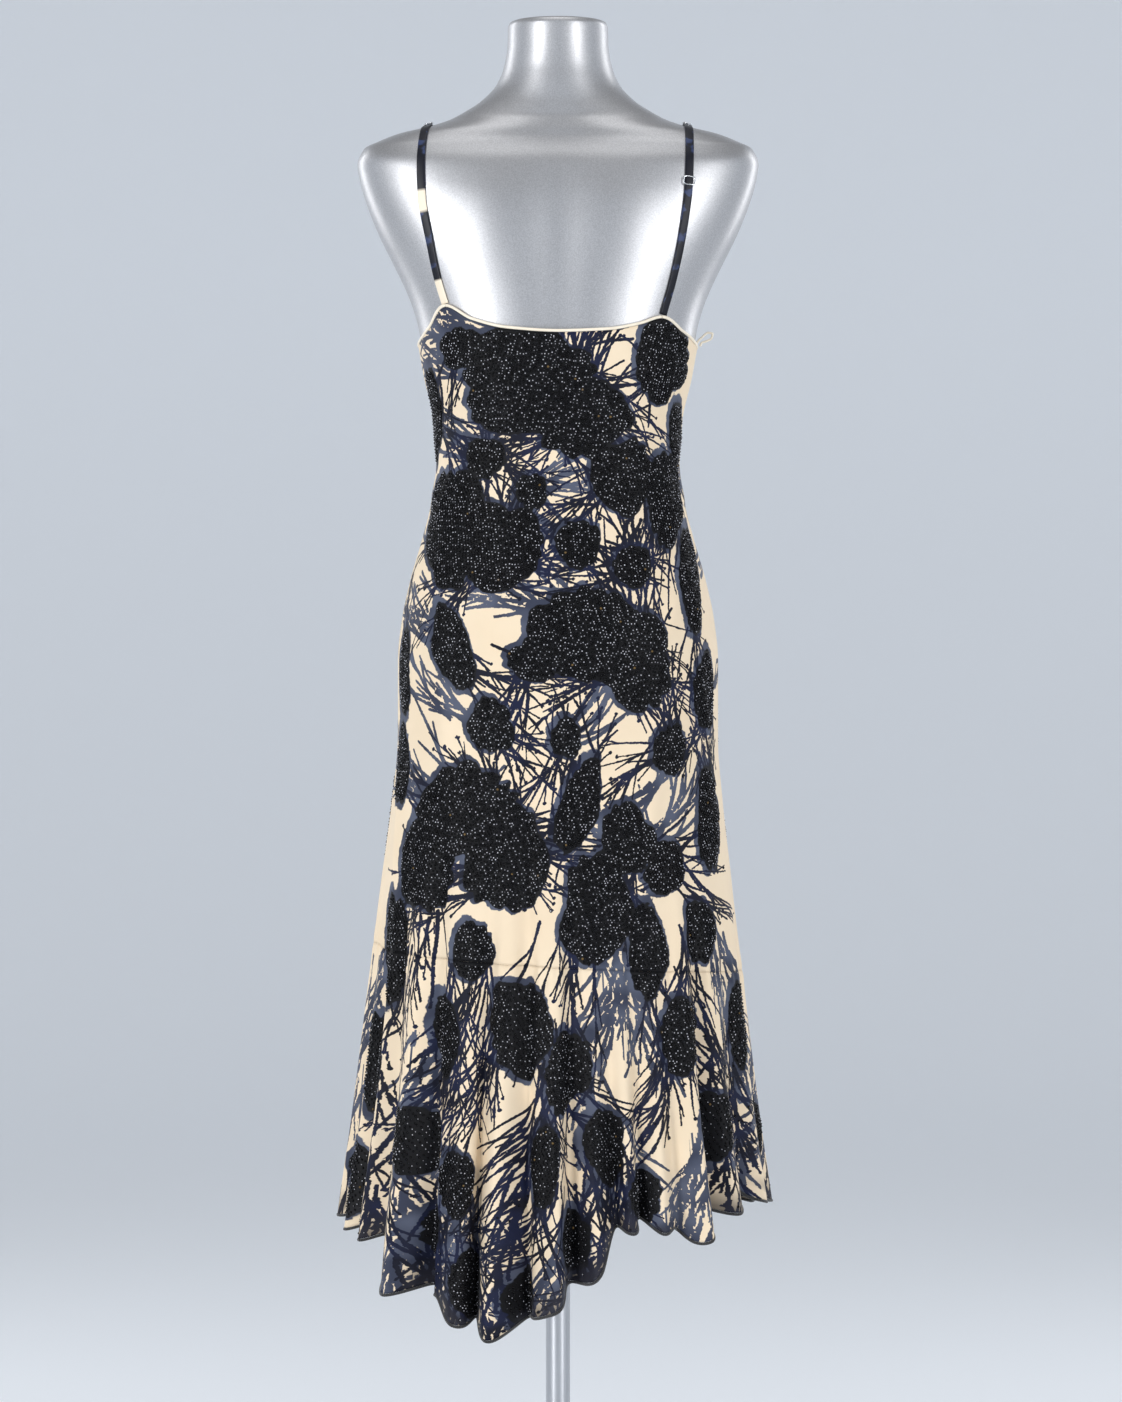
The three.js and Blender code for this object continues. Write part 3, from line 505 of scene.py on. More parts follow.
base_profile = [(0, 0), (157, 0)] + corner(157.5, 2.5, 2.5, -90) + [(160, 5)]
base_profile += corner(158, 6.2, 1.8, 0)[1:] + [(151, 8.6), (90, 10.2), (30, 12)]
base_profile += [(25.5, 14.5), (23.6, 20), (21.4, 33)] + corner(18, 37, 3, 0) + [(0, 40)]
spun("base_plate", base_profile, "form_base")
spun("stand_tube", [(0, 40.3), (12, 40.3), (12, 785.4), (0, 785.4)], "form_pole")
socket_profile = [(0, 785.7), (19, 785.7), (33, 794.5), (34, 796), (34, 799.7), (0, 799.7)]
spun("socket_flange", socket_profile, "form_socket")

# %% [markdown]
# The print is laid out flat, in millimetres on the cloth: how far a place lies from the panel's
# middle, measured round the body, and its height. So a round blossom stays round on a curved panel.
# A table of runs round the body turns an angle into that distance, and a few steps turn it back.

# %% Cloth laid flat
RUN_ANGLES = np.linspace(-100, 280, 761)
RUN_HEIGHTS = np.linspace(280, 1380, 111)
rings_of_body = section(dress_at, RUN_ANGLES[None, :], RUN_HEIGHTS[:, None])
run_steps = np.linalg.norm(np.diff(rings_of_body, axis=1), axis=2)
run_table = np.concatenate([np.zeros((len(RUN_HEIGHTS), 1)), np.cumsum(run_steps, axis=1)], axis=1)


def run(angle, z):
    """Millimetres round the body from the start of the table to an angle, at height z."""
    row = np.clip((z - RUN_HEIGHTS[0]) / (RUN_HEIGHTS[1] - RUN_HEIGHTS[0]), 0, len(RUN_HEIGHTS) - 1.001)
    col = np.clip((angle - RUN_ANGLES[0]) / (RUN_ANGLES[1] - RUN_ANGLES[0]), 0, len(RUN_ANGLES) - 1.001)
    i, j = row.astype(int), col.astype(int)
    s, t = row - i, col - j
    low = run_table[i, j] * (1 - t) + run_table[i, j + 1] * t
    high = run_table[i + 1, j] * (1 - t) + run_table[i + 1, j + 1] * t
    return low * (1 - s) + high * s


def flat_x(angle, z, middle):
    angle, z = np.broadcast_arrays(np.asarray(angle, float), np.asarray(z, float))
    return run(angle, z) - run(np.full_like(z, middle), z)


def angle_at(x, z, middle):
    x, z = np.broadcast_arrays(np.asarray(x, float), np.asarray(z, float))
    angle = middle + x / around(dress_at, z)
    for _ in range(5):
        slope = run(angle + 0.5, z) - run(angle - 0.5, z)
        angle = np.clip(angle - (flat_x(angle, z, middle) - x) / np.maximum(slope, 0.5), -99, 279)
    return angle


def seen_x(x, z, middle):
    """Flat place of a point seen x millimetres right of the middle, from straight behind or ahead."""
    angles = np.linspace(-90, 90, 361)
    across = section(dress_at, angles, np.full(361, float(z)))[:, 0]
    return float(flat_x(middle + np.interp(x, across, angles), float(z), middle))


# %% [markdown]
# Dark blossoms with petalled edges and a few long leaves lie over the whole dress, and each throws a
# slate shadow to one side, as a second block would print it. The motifs and their layout are the
# builder's own, in the real print's colours and scale: a table gives each blossom's place and size,
# and a formula gives its outline.

# %% Blossoms
BACK_MIDDLE, FRONT_MIDDLE = 0, 180
# Columns: millimetres right of the centre as seen, height, half width, half height, turn, petals
BACK_BLOSSOMS = [
    (-34, 1232, 66, 52, 8, 11), (24, 1196, 48, 40, 0, 9), (-98, 1264, 24, 20, 20, 7),
    (-122, 1200, 18, 48, 0, 8), (106, 1252, 36, 40, -12, 9), (118, 1180, 18, 36, 6, 0),
    (-72, 1156, 22, 20, 0, 8), (64, 1138, 34, 38, 12, 9), (108, 1118, 28, 48, -6, 8),
    (-106, 1088, 42, 60, 4, 11), (-60, 1068, 46, 44, -10, 10), (-26, 1122, 16, 18, 10, 6),
    (20, 1070, 22, 24, 0, 7), (74, 1048, 20, 21, 0, 7), (132, 1036, 18, 54, 0, 8),
    (28, 982, 54, 46, -8, 11), (76, 956, 38, 50, 10, 9), (-24, 956, 24, 22, 0, 7),
    (-104, 968, 22, 46, 20, 0), (-152, 944, 15, 44, 0, 8), (146, 926, 20, 40, 0, 8),
    (-66, 892, 23, 27, 14, 7), (110, 868, 19, 25, -16, 7), (8, 880, 15, 20, 0, 6),
    (-92, 806, 58, 46, 6, 12), (-50, 760, 42, 50, -10, 10), (-132, 756, 34, 48, 0, 9),
    (-154, 852, 16, 40, 0, 7), (20, 812, 20, 50, -18, 0), (68, 780, 27, 35, 8, 8),
    (106, 752, 22, 27, -14, 7), (150, 800, 20, 52, 0, 8), (38, 712, 36, 54, -6, 9),
    (88, 672, 20, 48, 4, 0), (-84, 672, 22, 29, 0, 8), (142, 690, 20, 31, 8, 8),
    (-162, 672, 19, 54, 0, 8), (-36, 598, 28, 48, 6, 9), (8, 556, 22, 40, -10, 8),
    (-112, 590, 17, 42, 4, 0), (122, 590, 25, 37, -6, 9), (178, 600, 16, 44, 0, 8),
    (-180, 560, 20, 50, 0, 8), (44, 484, 19, 37, 4, 8), (-142, 488, 23, 34, 8, 8),
    (152, 500, 22, 34, 0, 7), (-16, 466, 15, 42, -4, 0), (-100, 446, 20, 32, 0, 8),
    (198, 476, 18, 44, 0, 8), (-198, 446, 24, 40, 0, 8), (84, 434, 18, 26, 0, 7), (16, 392, 14, 30, 0, 7),
    (-86, 350, 20, 34, 6, 8), (-38, 336, 12, 30, 0, 0), (-128, 400, 14, 26, -8, 6),
]
FRONT_BLOSSOMS = [
    (-70, 1312, 26, 32, 12, 8), (66, 1300, 40, 38, -16, 9), (4, 1250, 27, 22, 0, 8),
    (-88, 1210, 36, 50, 10, 9), (58, 1180, 44, 46, -6, 10), (-20, 1150, 26, 28, 20, 8),
    (102, 1120, 30, 56, 4, 0), (-72, 1090, 42, 44, -14, 10), (12, 1062, 50, 52, 10, 12),
    (-120, 1010, 26, 52, 0, 8), (86, 1000, 40, 48, 18, 9), (-48, 972, 28, 25, 0, 8),
    (22, 930, 34, 30, -12, 8), (-98, 900, 44, 50, 8, 11), (112, 888, 32, 56, -8, 0),
    (-20, 850, 58, 48, 6, 12), (56, 790, 38, 44, 14, 9), (-80, 780, 32, 44, -10, 9),
    (-150, 800, 20, 44, 0, 7), (0, 712, 38, 58, 4, 10), (96, 706, 32, 46, -10, 8),
    (-112, 690, 24, 52, 6, 0), (150, 660, 22, 40, 0, 7), (-50, 612, 25, 54, 0, 8),
    (48, 590, 28, 50, 8, 0), (-150, 580, 24, 38, -6, 8), (112, 560, 24, 42, 6, 8),
    (-6, 500, 25, 50, -4, 9), (-96, 490, 22, 44, 10, 0), (70, 460, 24, 36, -10, 8),
    (160, 470, 26, 36, 0, 8), (-170, 460, 26, 34, 4, 8), (-116, 1182, 20, 52, 0, 9),
    (122, 1040, 24, 60, 0, 9), (-154, 890, 26, 62, 0, 10), (152, 946, 20, 46, 0, 8),
    (166, 800, 24, 50, 4, 9), (-172, 690, 20, 60, 0, 8), (184, 600, 26, 50, 0, 8),
    (-190, 560, 22, 56, 0, 9), (-34, 1204, 24, 30, 0, 8), (36, 1112, 30, 28, 8, 9),
    (-46, 900, 30, 40, 0, 9), (40, 858, 26, 34, 0, 8), (-122, 1256, 15, 30, 0, 8),
    (-124, 1096, 12, 46, 0, 0), (-148, 962, 14, 38, 0, 8), (-166, 774, 14, 44, 0, 8),
]
# How deep the petals cut into a blossom's edge, as a share of its size. A leaf with a power of 2 would
# have round ends, and a lower one draws them to a point.
PETAL_DEPTH = 0.11
LEAF_POWER = 1.7
SHADOW_SHIFT = (-2.2, 1.5)
SHADOW_SPREAD = 3.0
blossoms = {
    middle: [(seen_x(row[0], row[1], middle), *row[1:]) for row in rows]
    for middle, rows in ((BACK_MIDDLE, BACK_BLOSSOMS), (FRONT_MIDDLE, FRONT_BLOSSOMS))
}


def blossom_distance(x, z, middle, shift=(0, 0)):
    """Millimetres to the nearest blossom's edge on the flat cloth, below 0 inside it."""
    nearest = np.full(np.shape(x), 1e3)
    for number, (at, height, wide, tall, turn, petals) in enumerate(blossoms[middle]):
        lean = math.radians(turn)
        u, v = x - at - shift[0], z - height - shift[1]
        across = (u * math.cos(lean) + v * math.sin(lean)) / wide
        along = (v * math.cos(lean) - u * math.sin(lean)) / tall
        bearing = np.arctan2(along, across) + 1.7 * number
        if petals:
            uneven = bearing + 0.3 * np.sin(2 * bearing + number) + 0.12 * np.sin(5 * bearing - number)
            deep = PETAL_DEPTH * (1 + 0.55 * np.sin(bearing + 2 * number))
            edge = 1 + deep * (np.abs(np.cos(petals * uneven / 2)) - 0.64)
            size = np.hypot(across, along)
        else:
            edge = 1 + 0.02 * np.cos(9 * bearing)
            size = (np.abs(across) ** LEAF_POWER + np.abs(along) ** LEAF_POWER) ** (1 / LEAF_POWER)
        edge = edge + 0.06 * np.cos(3 * bearing + number) + 0.035 * np.cos(5 * bearing - 2 * number)
        nearest = np.minimum(nearest, (size - edge) * min(wide, tall))
    return nearest


# %% [markdown]
# Twigs. Two fans of them spread from each blossom: every way down to mid-thigh, and combed downwards
# below it. Each stem grows by short strokes, bends a little, puts out thinner twigs by turns to each side
# and may end in a bud. A broad slate layer lies under a fine navy one. The random draws are seeded, so
# the same twigs grow every time.

# %% Growing twigs
# Directions of the fans down to mid-thigh, 0 to the right and 90 up, taken in turn
BEARINGS = (150, 25, 205, 330, 258, 96)
SPREAD, LENGTH, LENGTH_SHARE, STEMS = 25, 62, 1.15, 5
COMBED_BELOW = 740
COMBED_WAY, COMBED_LEAN, COMBED_PAIR = 268, 0.06, 14
COMBED_SPREAD, COMBED_LENGTH, COMBED_STEMS = 16, 126, 8
# Where fans start, as shares of the blossom's half width and half height
COMBED_APART, COMBED_DROP, START_OUT = 1.4, 0.2, 0.6
# How far the roots of a fan lie apart, for each of its stems
ROOT_SPREAD = 1.3
NAVY_WIDTH, SLATE_WIDTH = 1.45, 2.3
STROKE_STEP = 11.0
# Degrees by which a whole fan bends, each of its stems besides, and each stroke of a stem
FAN_BEND, STEM_BEND, SWAY = 2.8, 0.7, 2.6
# Chance of a side twig at each stroke, for a stem and for a side twig, and the degrees that it turns
TWIG_CHANCE = (0.36, 0.12)
TWIG_TURN = (9, 22)
THINNER = 0.82
BUD_CHANCE, BUD_SIZE = 0.55, (1.25, 1.9)


def fans(rows):
    """Fans of one side: start, direction, spread to each side, length, stems, and whether slate."""
    made = []
    for number, (x, z, wide, tall, *_) in enumerate(rows):
        for half in (0, 1):
            slate = (number + half) % 3 == 0
            if z < COMBED_BELOW:
                start = (x + (half - 0.5) * COMBED_APART * wide, z - COMBED_DROP * tall)
                direction = COMBED_WAY + COMBED_LEAN * x + COMBED_PAIR * (half - 0.5)
                length = COMBED_LENGTH + 20 * (number % 3)
                made.append((*start, direction, COMBED_SPREAD, length, COMBED_STEMS, slate))
            else:
                direction = BEARINGS[(2 * number + 3 * half) % len(BEARINGS)]
                way = math.radians(direction)
                start = (x + START_OUT * wide * math.cos(way), z + START_OUT * tall * math.sin(way))
                length, stems = LENGTH + LENGTH_SHARE * wide, round(STEMS + wide / 7)
                made.append((*start, direction, SPREAD, length, stems, slate))
    return made


def grow(strokes, x, z, heading, bend, length, width, level, slate):
    """Adds a stem, its side twigs and its buds to a list of straight strokes."""
    steps = max(2, round(length / STROKE_STEP))
    side = rng.choice((-1, 1))
    for i in range(steps):
        left = 1 - i / steps
        heading += bend + rng.normal(0, SWAY)
        way = math.radians(heading)
        end_x = x + length / steps * math.cos(way)
        end_z = z + length / steps * math.sin(way)
        strokes.append((x, z, end_x, end_z, width * (0.5 + 0.5 * left)))
        x, z = end_x, end_z
        if level < 2 and i + 1 < steps and rng.random() < TWIG_CHANCE[level]:
            turned = heading + side * rng.uniform(*TWIG_TURN)
            twig = length * (0.25 + 0.3 * left) * rng.uniform(0.5, 1.0)
            deeper = level + 1 + (level == 0 and slate)
            grow(strokes, x, z, turned, bend, twig, width * THINNER, deeper, slate)
            side = -side
    if not slate and rng.random() < BUD_CHANCE:
        strokes.append((x, z, x + 0.6, z + 0.6, rng.uniform(*BUD_SIZE)))


def twigs(rows, middle, wanted):
    """Strokes of the slate or the navy fans of a panel: start, end and half width, in flat millimetres."""
    strokes = []
    for x, z, direction, spread, length, stems, slate in fans(rows):
        if slate != wanted:
            continue
        root = seen_x(x, z, middle)
        fan_bend = rng.normal(0, FAN_BEND)
        for i in range(stems):
            heading = direction + spread * (2 * (i + 0.5) / stems - 1) + rng.normal(0, 3)
            reach = length * rng.uniform(0.6, 1.05)
            width = SLATE_WIDTH if slate else NAVY_WIDTH
            start = rng.normal(0, ROOT_SPREAD * stems, 2)
            bend = fan_bend + rng.normal(0, STEM_BEND)
            width *= rng.uniform(0.75, 1.3)
            grow(strokes, root + start[0], z + start[1], heading, bend, reach, width, 0, slate)
    return np.array(strokes)


strokes = {
    (middle, slate): twigs(rows, middle, slate)
    for middle, rows in ((BACK_MIDDLE, BACK_BLOSSOMS), (FRONT_MIDDLE, FRONT_BLOSSOMS))
    for slate in (True, False)
}
print("strokes", {key: len(rows) for key, rows in strokes.items()})

# %% [markdown]
# Each small face of the cloth keeps the few strokes that cross it, as numbers, and the material
# measures its distance to them. The lines then stay sharp however near the camera comes, which an
# image would not do. A stroke is kept as two vectors: its start with its half width, and its
# direction with its length. Where more cross a face than it has room for, the broadest are kept.

# %% Strokes on the faces of the cloth
SLOTS = {False: 7, True: 4}
FAR_STROKE = ((1e4, 1e4, 0), (1, 0, 0))


def keep_strokes(mesh, panel_cells, cell_of, middle):
    """Gives each face the strokes that come near it. cell_of turns flat places into cells of the panel."""
    for slate, slots in SLOTS.items():
        layer = "slate" if slate else "navy"
        rows = strokes[middle, slate]
        length = np.hypot(rows[:, 2] - rows[:, 0], rows[:, 3] - rows[:, 1])
        pairs = []
        for share in np.linspace(0, 1, 9):
            x = rows[:, 0] + (rows[:, 2] - rows[:, 0]) * share
            z = rows[:, 1] + (rows[:, 3] - rows[:, 1]) * share
            reach = rows[:, 4] + 0.9
            for side_x, side_z in ((0, 0), (1, 0), (-1, 0), (0, 1), (0, -1)):
                cell, inside = cell_of(x + side_x * reach, z + side_z * reach)
                pairs.append(np.stack([cell, np.arange(len(rows))], axis=1)[inside])
        pairs = np.unique(np.concatenate(pairs), axis=0)
        pairs = pairs[np.lexsort((-rows[pairs[:, 1], 4] - 0.02 * length[pairs[:, 1]], pairs[:, 0]))]
        first = np.searchsorted(pairs[:, 0], pairs[:, 0])
        place_in_cell = np.arange(len(pairs)) - first
        for slot in range(slots):
            start = np.tile(np.array(FAR_STROKE[0], float), (len(mesh.polygons), 1))
            way = np.tile(np.array(FAR_STROKE[1], float), (len(mesh.polygons), 1))
            chosen = pairs[place_in_cell == slot]
            face, row = panel_cells[chosen[:, 0]], rows[chosen[:, 1]]
            start[face] = row[:, [0, 1, 4]]
            size = np.maximum(length[chosen[:, 1]], 0.01)[:, None]
            way[face] = np.hstack([(row[:, 2:4] - row[:, 0:2]) / size, size])
            keep(mesh, f"{layer}_{slot}_start", "FLOAT_VECTOR", start, "FACE")
            keep(mesh, f"{layer}_{slot}_way", "FLOAT_VECTOR", way, "FACE")
        print(middle, layer, "most in a cell", int(place_in_cell.max()) + 1,
              "left out", int((place_in_cell >= slots).sum()), "of", len(pairs))


# %% [markdown]
# Silk georgette is woven from hard-twisted threads, which give it a fine pebbled face and a soft,
# slightly dry sheen. The print lies in the threads, so only the colour changes with it, and the
# threads' bump runs over everything. The real threads, five to a millimetre, are too fine to show,
# so the pebbling is drawn at one millimetre.

# %% Printed silk
def stroke_distance(tree, place, name):
    """Millimetres from a place on the flat cloth to the edge of a stroke, below 0 inside it."""
    start, way = kept(tree, name + "_start", "Vector"), kept(tree, name + "_way", "Vector")
    offset = node(tree, "ShaderNodeVectorMath", {"operation": "SUBTRACT"}, _0=place, _1=start).outputs[0]
    u, v, less_width = node(tree, "ShaderNodeSeparateXYZ", Vector=offset).outputs
    way_u, way_v, length = node(tree, "ShaderNodeSeparateXYZ", Vector=way).outputs
    along = math_of(tree, "MULTIPLY_ADD", u, way_u, math_of(tree, "MULTIPLY", v, way_v))
    off = math_of(tree, "SUBTRACT", math_of(tree, "MULTIPLY", u, way_v), math_of(tree, "MULTIPLY", v, way_u))
    held = math_of(tree, "MINIMUM", math_of(tree, "MAXIMUM", along, 0.0), length)
    over = math_of(tree, "SUBTRACT", along, held)
    square = math_of(tree, "MULTIPLY_ADD", off, off, math_of(tree, "MULTIPLY", over, over))
    return math_of(tree, "ADD", math_of(tree, "SQRT", square), less_width)


def stroke_share(tree, place, layer, slots):
    nearest = None
    for slot in range(slots):
        distance = stroke_distance(tree, place, f"{layer}_{slot}")
        nearest = distance if nearest is None else math_of(tree, "MINIMUM", nearest, distance)
    return ramp(tree, nearest, 0.15, -0.15)


printed_silk, tree, surface = new_material(
    "silk georgette, woven and printed", Roughness=0.6, Sheen_Weight=0.06, Sheen_Roughness=0.4,
    Specular_IOR_Level=0.2
)
cloth_mm = kept(tree, "cloth_mm", "Vector")
wobble = node(tree, "ShaderNodeTexNoise", Vector=cloth_mm, Scale=0.35, Detail=1.0).outputs["Color"]
centred = node(tree, "ShaderNodeVectorMath", {"operation": "SUBTRACT"}, _0=wobble, _1=(0.5, 0.5, 0.5))
moved = node(tree, "ShaderNodeVectorMath", {"operation": "MULTIPLY_ADD"}, _0=centred.outputs[0],
             _1=(1.6, 1.6, 0.0), _2=cloth_mm).outputs[0]
flat_place = node(tree, "ShaderNodeVectorMath", {"operation": "MULTIPLY"}, _0=moved, _1=(1, 1, 0)).outputs[0]
ragged = math_of(tree, "MULTIPLY", math_of(tree, "SUBTRACT", noise(tree, cloth_mm, 0.15, 3.0), 0.5), 5.0)
blossom = math_of(tree, "ADD", kept(tree, "blossom"), ragged)
shadow = math_of(tree, "ADD", kept(tree, "shadow"), ragged)
in_blossom = ramp(tree, blossom, 0.3, -0.3)
in_shadow = ramp(tree, shadow, SHADOW_SPREAD + 0.3, SHADOW_SPREAD - 0.3)
ground = mixed(tree, noise(tree, cloth_mm, 0.012, 2.0), linear("#E2CDAF"), linear("#EDDBC0"))
wash = noise(tree, cloth_mm, 0.03, 1.0)
navy = mixed(tree, ramp(tree, wash, 0.42, 0.6), linear("#0B0E1F"), linear("#161C37"))
slate = mixed(tree, ramp(tree, wash, 0.4, 0.62), linear("#353A4B"), linear("#525869"))
colour = mixed(tree, stroke_share(tree, flat_place, "slate", SLOTS[True]), ground, slate)
colour = mixed(tree, in_shadow, colour, slate)
colour = mixed(tree, stroke_share(tree, flat_place, "navy", SLOTS[False]), colour, navy)
colour = mixed(tree, in_blossom, colour, linear("#08080C"))
# The cloth turns a smoky grey near the hem in places
near_hem = ramp(tree, kept(tree, "above_hem"), 26.0, 4.0)
smoky = math_of(tree, "MULTIPLY", near_hem, ramp(tree, noise(tree, cloth_mm, 0.022, 0.0), 0.5, 0.56))
colour = mixed(tree, math_of(tree, "MULTIPLY", smoky, 0.75), colour, linear("#2A2930"))
paint(tree, surface, colour)
# Pebbling of the threads, then the soft crumple of the cloth
bump(tree, surface, noise(tree, cloth_mm, 1.0, 2.0), 0.25, 0.3)
bump(tree, surface, noise(tree, cloth_mm, 0.06, 3.0), 0.3, 1.5)


# %% [markdown]
# The four panels. Each is a bent grid between two edges, given a thin wall by a Solidify modifier.
# The run along its lower edge and its longest drop give its flat size.

# %% Panels
BACK_STEP, FRONT_STEP = 3.2, 4.1
SEAM_TURN = 0.1


def panel(name, first, last, low_edge, high_edge, step):
    middle = (first + last) / 2
    angles = np.linspace(first, last, 400)
    bottom, _ = cloth(angles, low_edge(angles))
    width = float(np.linalg.norm(np.diff(bottom, axis=0), axis=1).sum())
    drop = float(np.max(high_edge(angles) - low_edge(angles)))
    columns, rows = round(width / step), round(drop / step)

    def place(u, v):
        angle = first + (last - first) * u
        low, high = low_edge(angle), high_edge(angle)
        return cloth(angle, low + (high - low) * v)[0]

    def cell_of(x, z):
        angle = angle_at(x, z, middle)
        low, high = low_edge(angle), high_edge(angle)
        u, v = (angle - first) / (last - first), (z - low) / (high - low)
        inside = (u >= 0) & (u < 1) & (v >= 0) & (v < 1)
        cell = np.floor(v * rows).astype(int) * columns + np.floor(u * columns).astype(int)
        return np.where(inside, cell, 0), inside

    piece, u, v = bent(name, columns, rows, place, printed_silk)
    mesh = piece.data
    corners = np.empty(len(mesh.loops), dtype=np.int32)
    mesh.loops.foreach_get("vertex_index", corners)
    angle = first + (last - first) * u
    z = low_edge(angle) + (high_edge(angle) - low_edge(angle)) * v
    x = flat_x(angle, z, middle)
    keep(mesh, "cloth_mm", "FLOAT_VECTOR", np.stack([x, z, np.full_like(z, middle)], axis=-1))
    keep(mesh, "blossom", "FLOAT", blossom_distance(x, z, middle))
    keep(mesh, "shadow", "FLOAT", blossom_distance(x, z, middle, SHADOW_SHIFT))
    keep(mesh, "above_hem", "FLOAT", z - hem(angle))
    middle_u, middle_v = u[corners].reshape(-1, 4).mean(axis=1), v[corners].reshape(-1, 4).mean(axis=1)
    cells = np.floor(middle_v * rows).astype(int) * columns + np.floor(middle_u * columns).astype(int)
    faces_of_cells = np.empty(columns * rows, dtype=int)
    faces_of_cells[cells] = np.arange(len(cells))
    keep_strokes(mesh, faces_of_cells, cell_of, middle)
    uv = mesh.uv_layers.new(name="cut")
    uv.data.foreach_set("uv", np.stack([u[corners], v[corners]], axis=-1).astype(np.float32).ravel())
    area = sum(face.area for face in mesh.polygons)
    wall = piece.modifiers.new("wall", "SOLIDIFY")
    wall.thickness = WALL * MM
    wall.offset = -1
    return piece, width * MM, drop * MM, area


def seam_above(angle):
    return low_seam(angle) + SEAM_GAP / 2


def seam_below(angle):
    return low_seam(angle) - SEAM_GAP / 2


BACK = (SIDE_LEFT + SEAM_TURN, SIDE_RIGHT - SEAM_TURN)
FRONT = (SIDE_RIGHT + SEAM_TURN, SIDE_LEFT + 360 - SEAM_TURN)
# First and last angle, lower edge, upper edge
EDGES = {
    "back_body": (*BACK, seam_above, top_edge),
    "front_body": (*FRONT, seam_above, top_edge),
    "back_flounce": (*BACK, hem, seam_below),
    "front_flounce": (*FRONT, hem, seam_below),
}
panels = {}
for name, edges in EDGES.items():
    panels[name] = panel("cloth_" + name, *edges, BACK_STEP if name.startswith("back") else FRONT_STEP)
    dressed(panels[name][0], "printed_silk", name)
    print(name, "flat", [round(x, 3) for x in panels[name][1:]])


# %% [markdown]
# Beads. Small black glass beads cover the blossoms in wavy rows, close together, and a few lie on
# the twigs of the skirt. One low bead is copied to every place by an array, and all the beads of a
# panel are one mesh. On about half of them the glint is painted as a pale spot on the crown, stronger
# on some than on others, because a reflection in so small a bead would be lost at this distance.

# %% Beads
BEAD_SIZE = 1.25
BEAD_STEP, BEAD_STRAY = 3.15, 0.35
ROW_STEP, ROW_STRAY = 2.85, 0.3
EDGE_CLEAR = 2.5
TWIG_BEADS_BELOW, TWIG_BEAD_SHARE = 860, 0.03

bead_glass, tree, surface = new_material(
    "glass, pressed and polished", Roughness=0.24, Specular_IOR_Level=0.25, IOR=1.52
)
tint = kept(tree, "tint")
black = mixed(tree, tint, linear("#030304"), linear("#111218"))
spot = math_of(tree, "MULTIPLY", ramp(tree, kept(tree, "crown"), 0.4, 0.62), ramp(tree, tint, 0.52, 1.0))
colour = mixed(tree, spot, black, linear("#CFCFD6"))
# Here and there a bead is bronze
paint(tree, surface, mixed(tree, ramp(tree, tint, 0.997, 0.9975), colour, linear("#77603C")))


def bead_places(first, last, low_edge, high_edge):
    """Angles and heights of the beads of a panel."""
    middle = (first + last) / 2
    angles, levels = [], []
    lowest = float(np.min(low_edge(np.linspace(first, last, 200))))
    for row, height in enumerate(np.arange(lowest + 3, top_edge(FRONT_RIGHT_STRAP), ROW_STEP)):
        half = float(flat_x(last, height, middle))
        x = np.arange(-half + BEAD_STEP * (0.3 + 0.5 * (row % 2)), half - BEAD_STEP * 0.3, BEAD_STEP)
        z = height + 1.5 * np.sin(x / 8 + height / 21) + 0.9 * np.sin(x / 3.7 - height / 9)
        x = x + rng.normal(0, BEAD_STRAY, len(x))
        levels.append(z + rng.normal(0, ROW_STRAY, len(z)))
        angles.append(angle_at(x, levels[-1], middle))
    angle, z = np.concatenate(angles), np.concatenate(levels)
    x = flat_x(angle, z, middle)
    sewn = blossom_distance(x, z, middle) < -1.2
    twig = strokes[middle, False][:, :2]
    twig = twig[(twig[:, 1] < TWIG_BEADS_BELOW) & (rng.random(len(twig)) < TWIG_BEAD_SHARE)]
    bare = twig[blossom_distance(twig[:, 0], twig[:, 1], middle) > 1.5]
    angle = np.concatenate([angle[sewn], angle_at(bare[:, 0], bare[:, 1], middle)])
    z = np.concatenate([z[sewn], bare[:, 1]])
    inside = (z > low_edge(angle) + EDGE_CLEAR) & (z < high_edge(angle) - EDGE_CLEAR)
    inside &= (angle > first) & (angle < last)
    return angle[inside], z[inside]


def one_bead():
    bm = bmesh.new()
    bmesh.ops.create_uvsphere(bm, u_segments=6, v_segments=2, radius=1.0)
    bmesh.ops.triangulate(bm, faces=bm.faces)
    bm.verts.ensure_lookup_table()
    points = np.array([vert.co[:] for vert in bm.verts])
    faces = np.array([[vert.index for vert in face.verts] for face in bm.faces])
    bm.free()
    return points, faces


bead_points, bead_faces = one_bead()


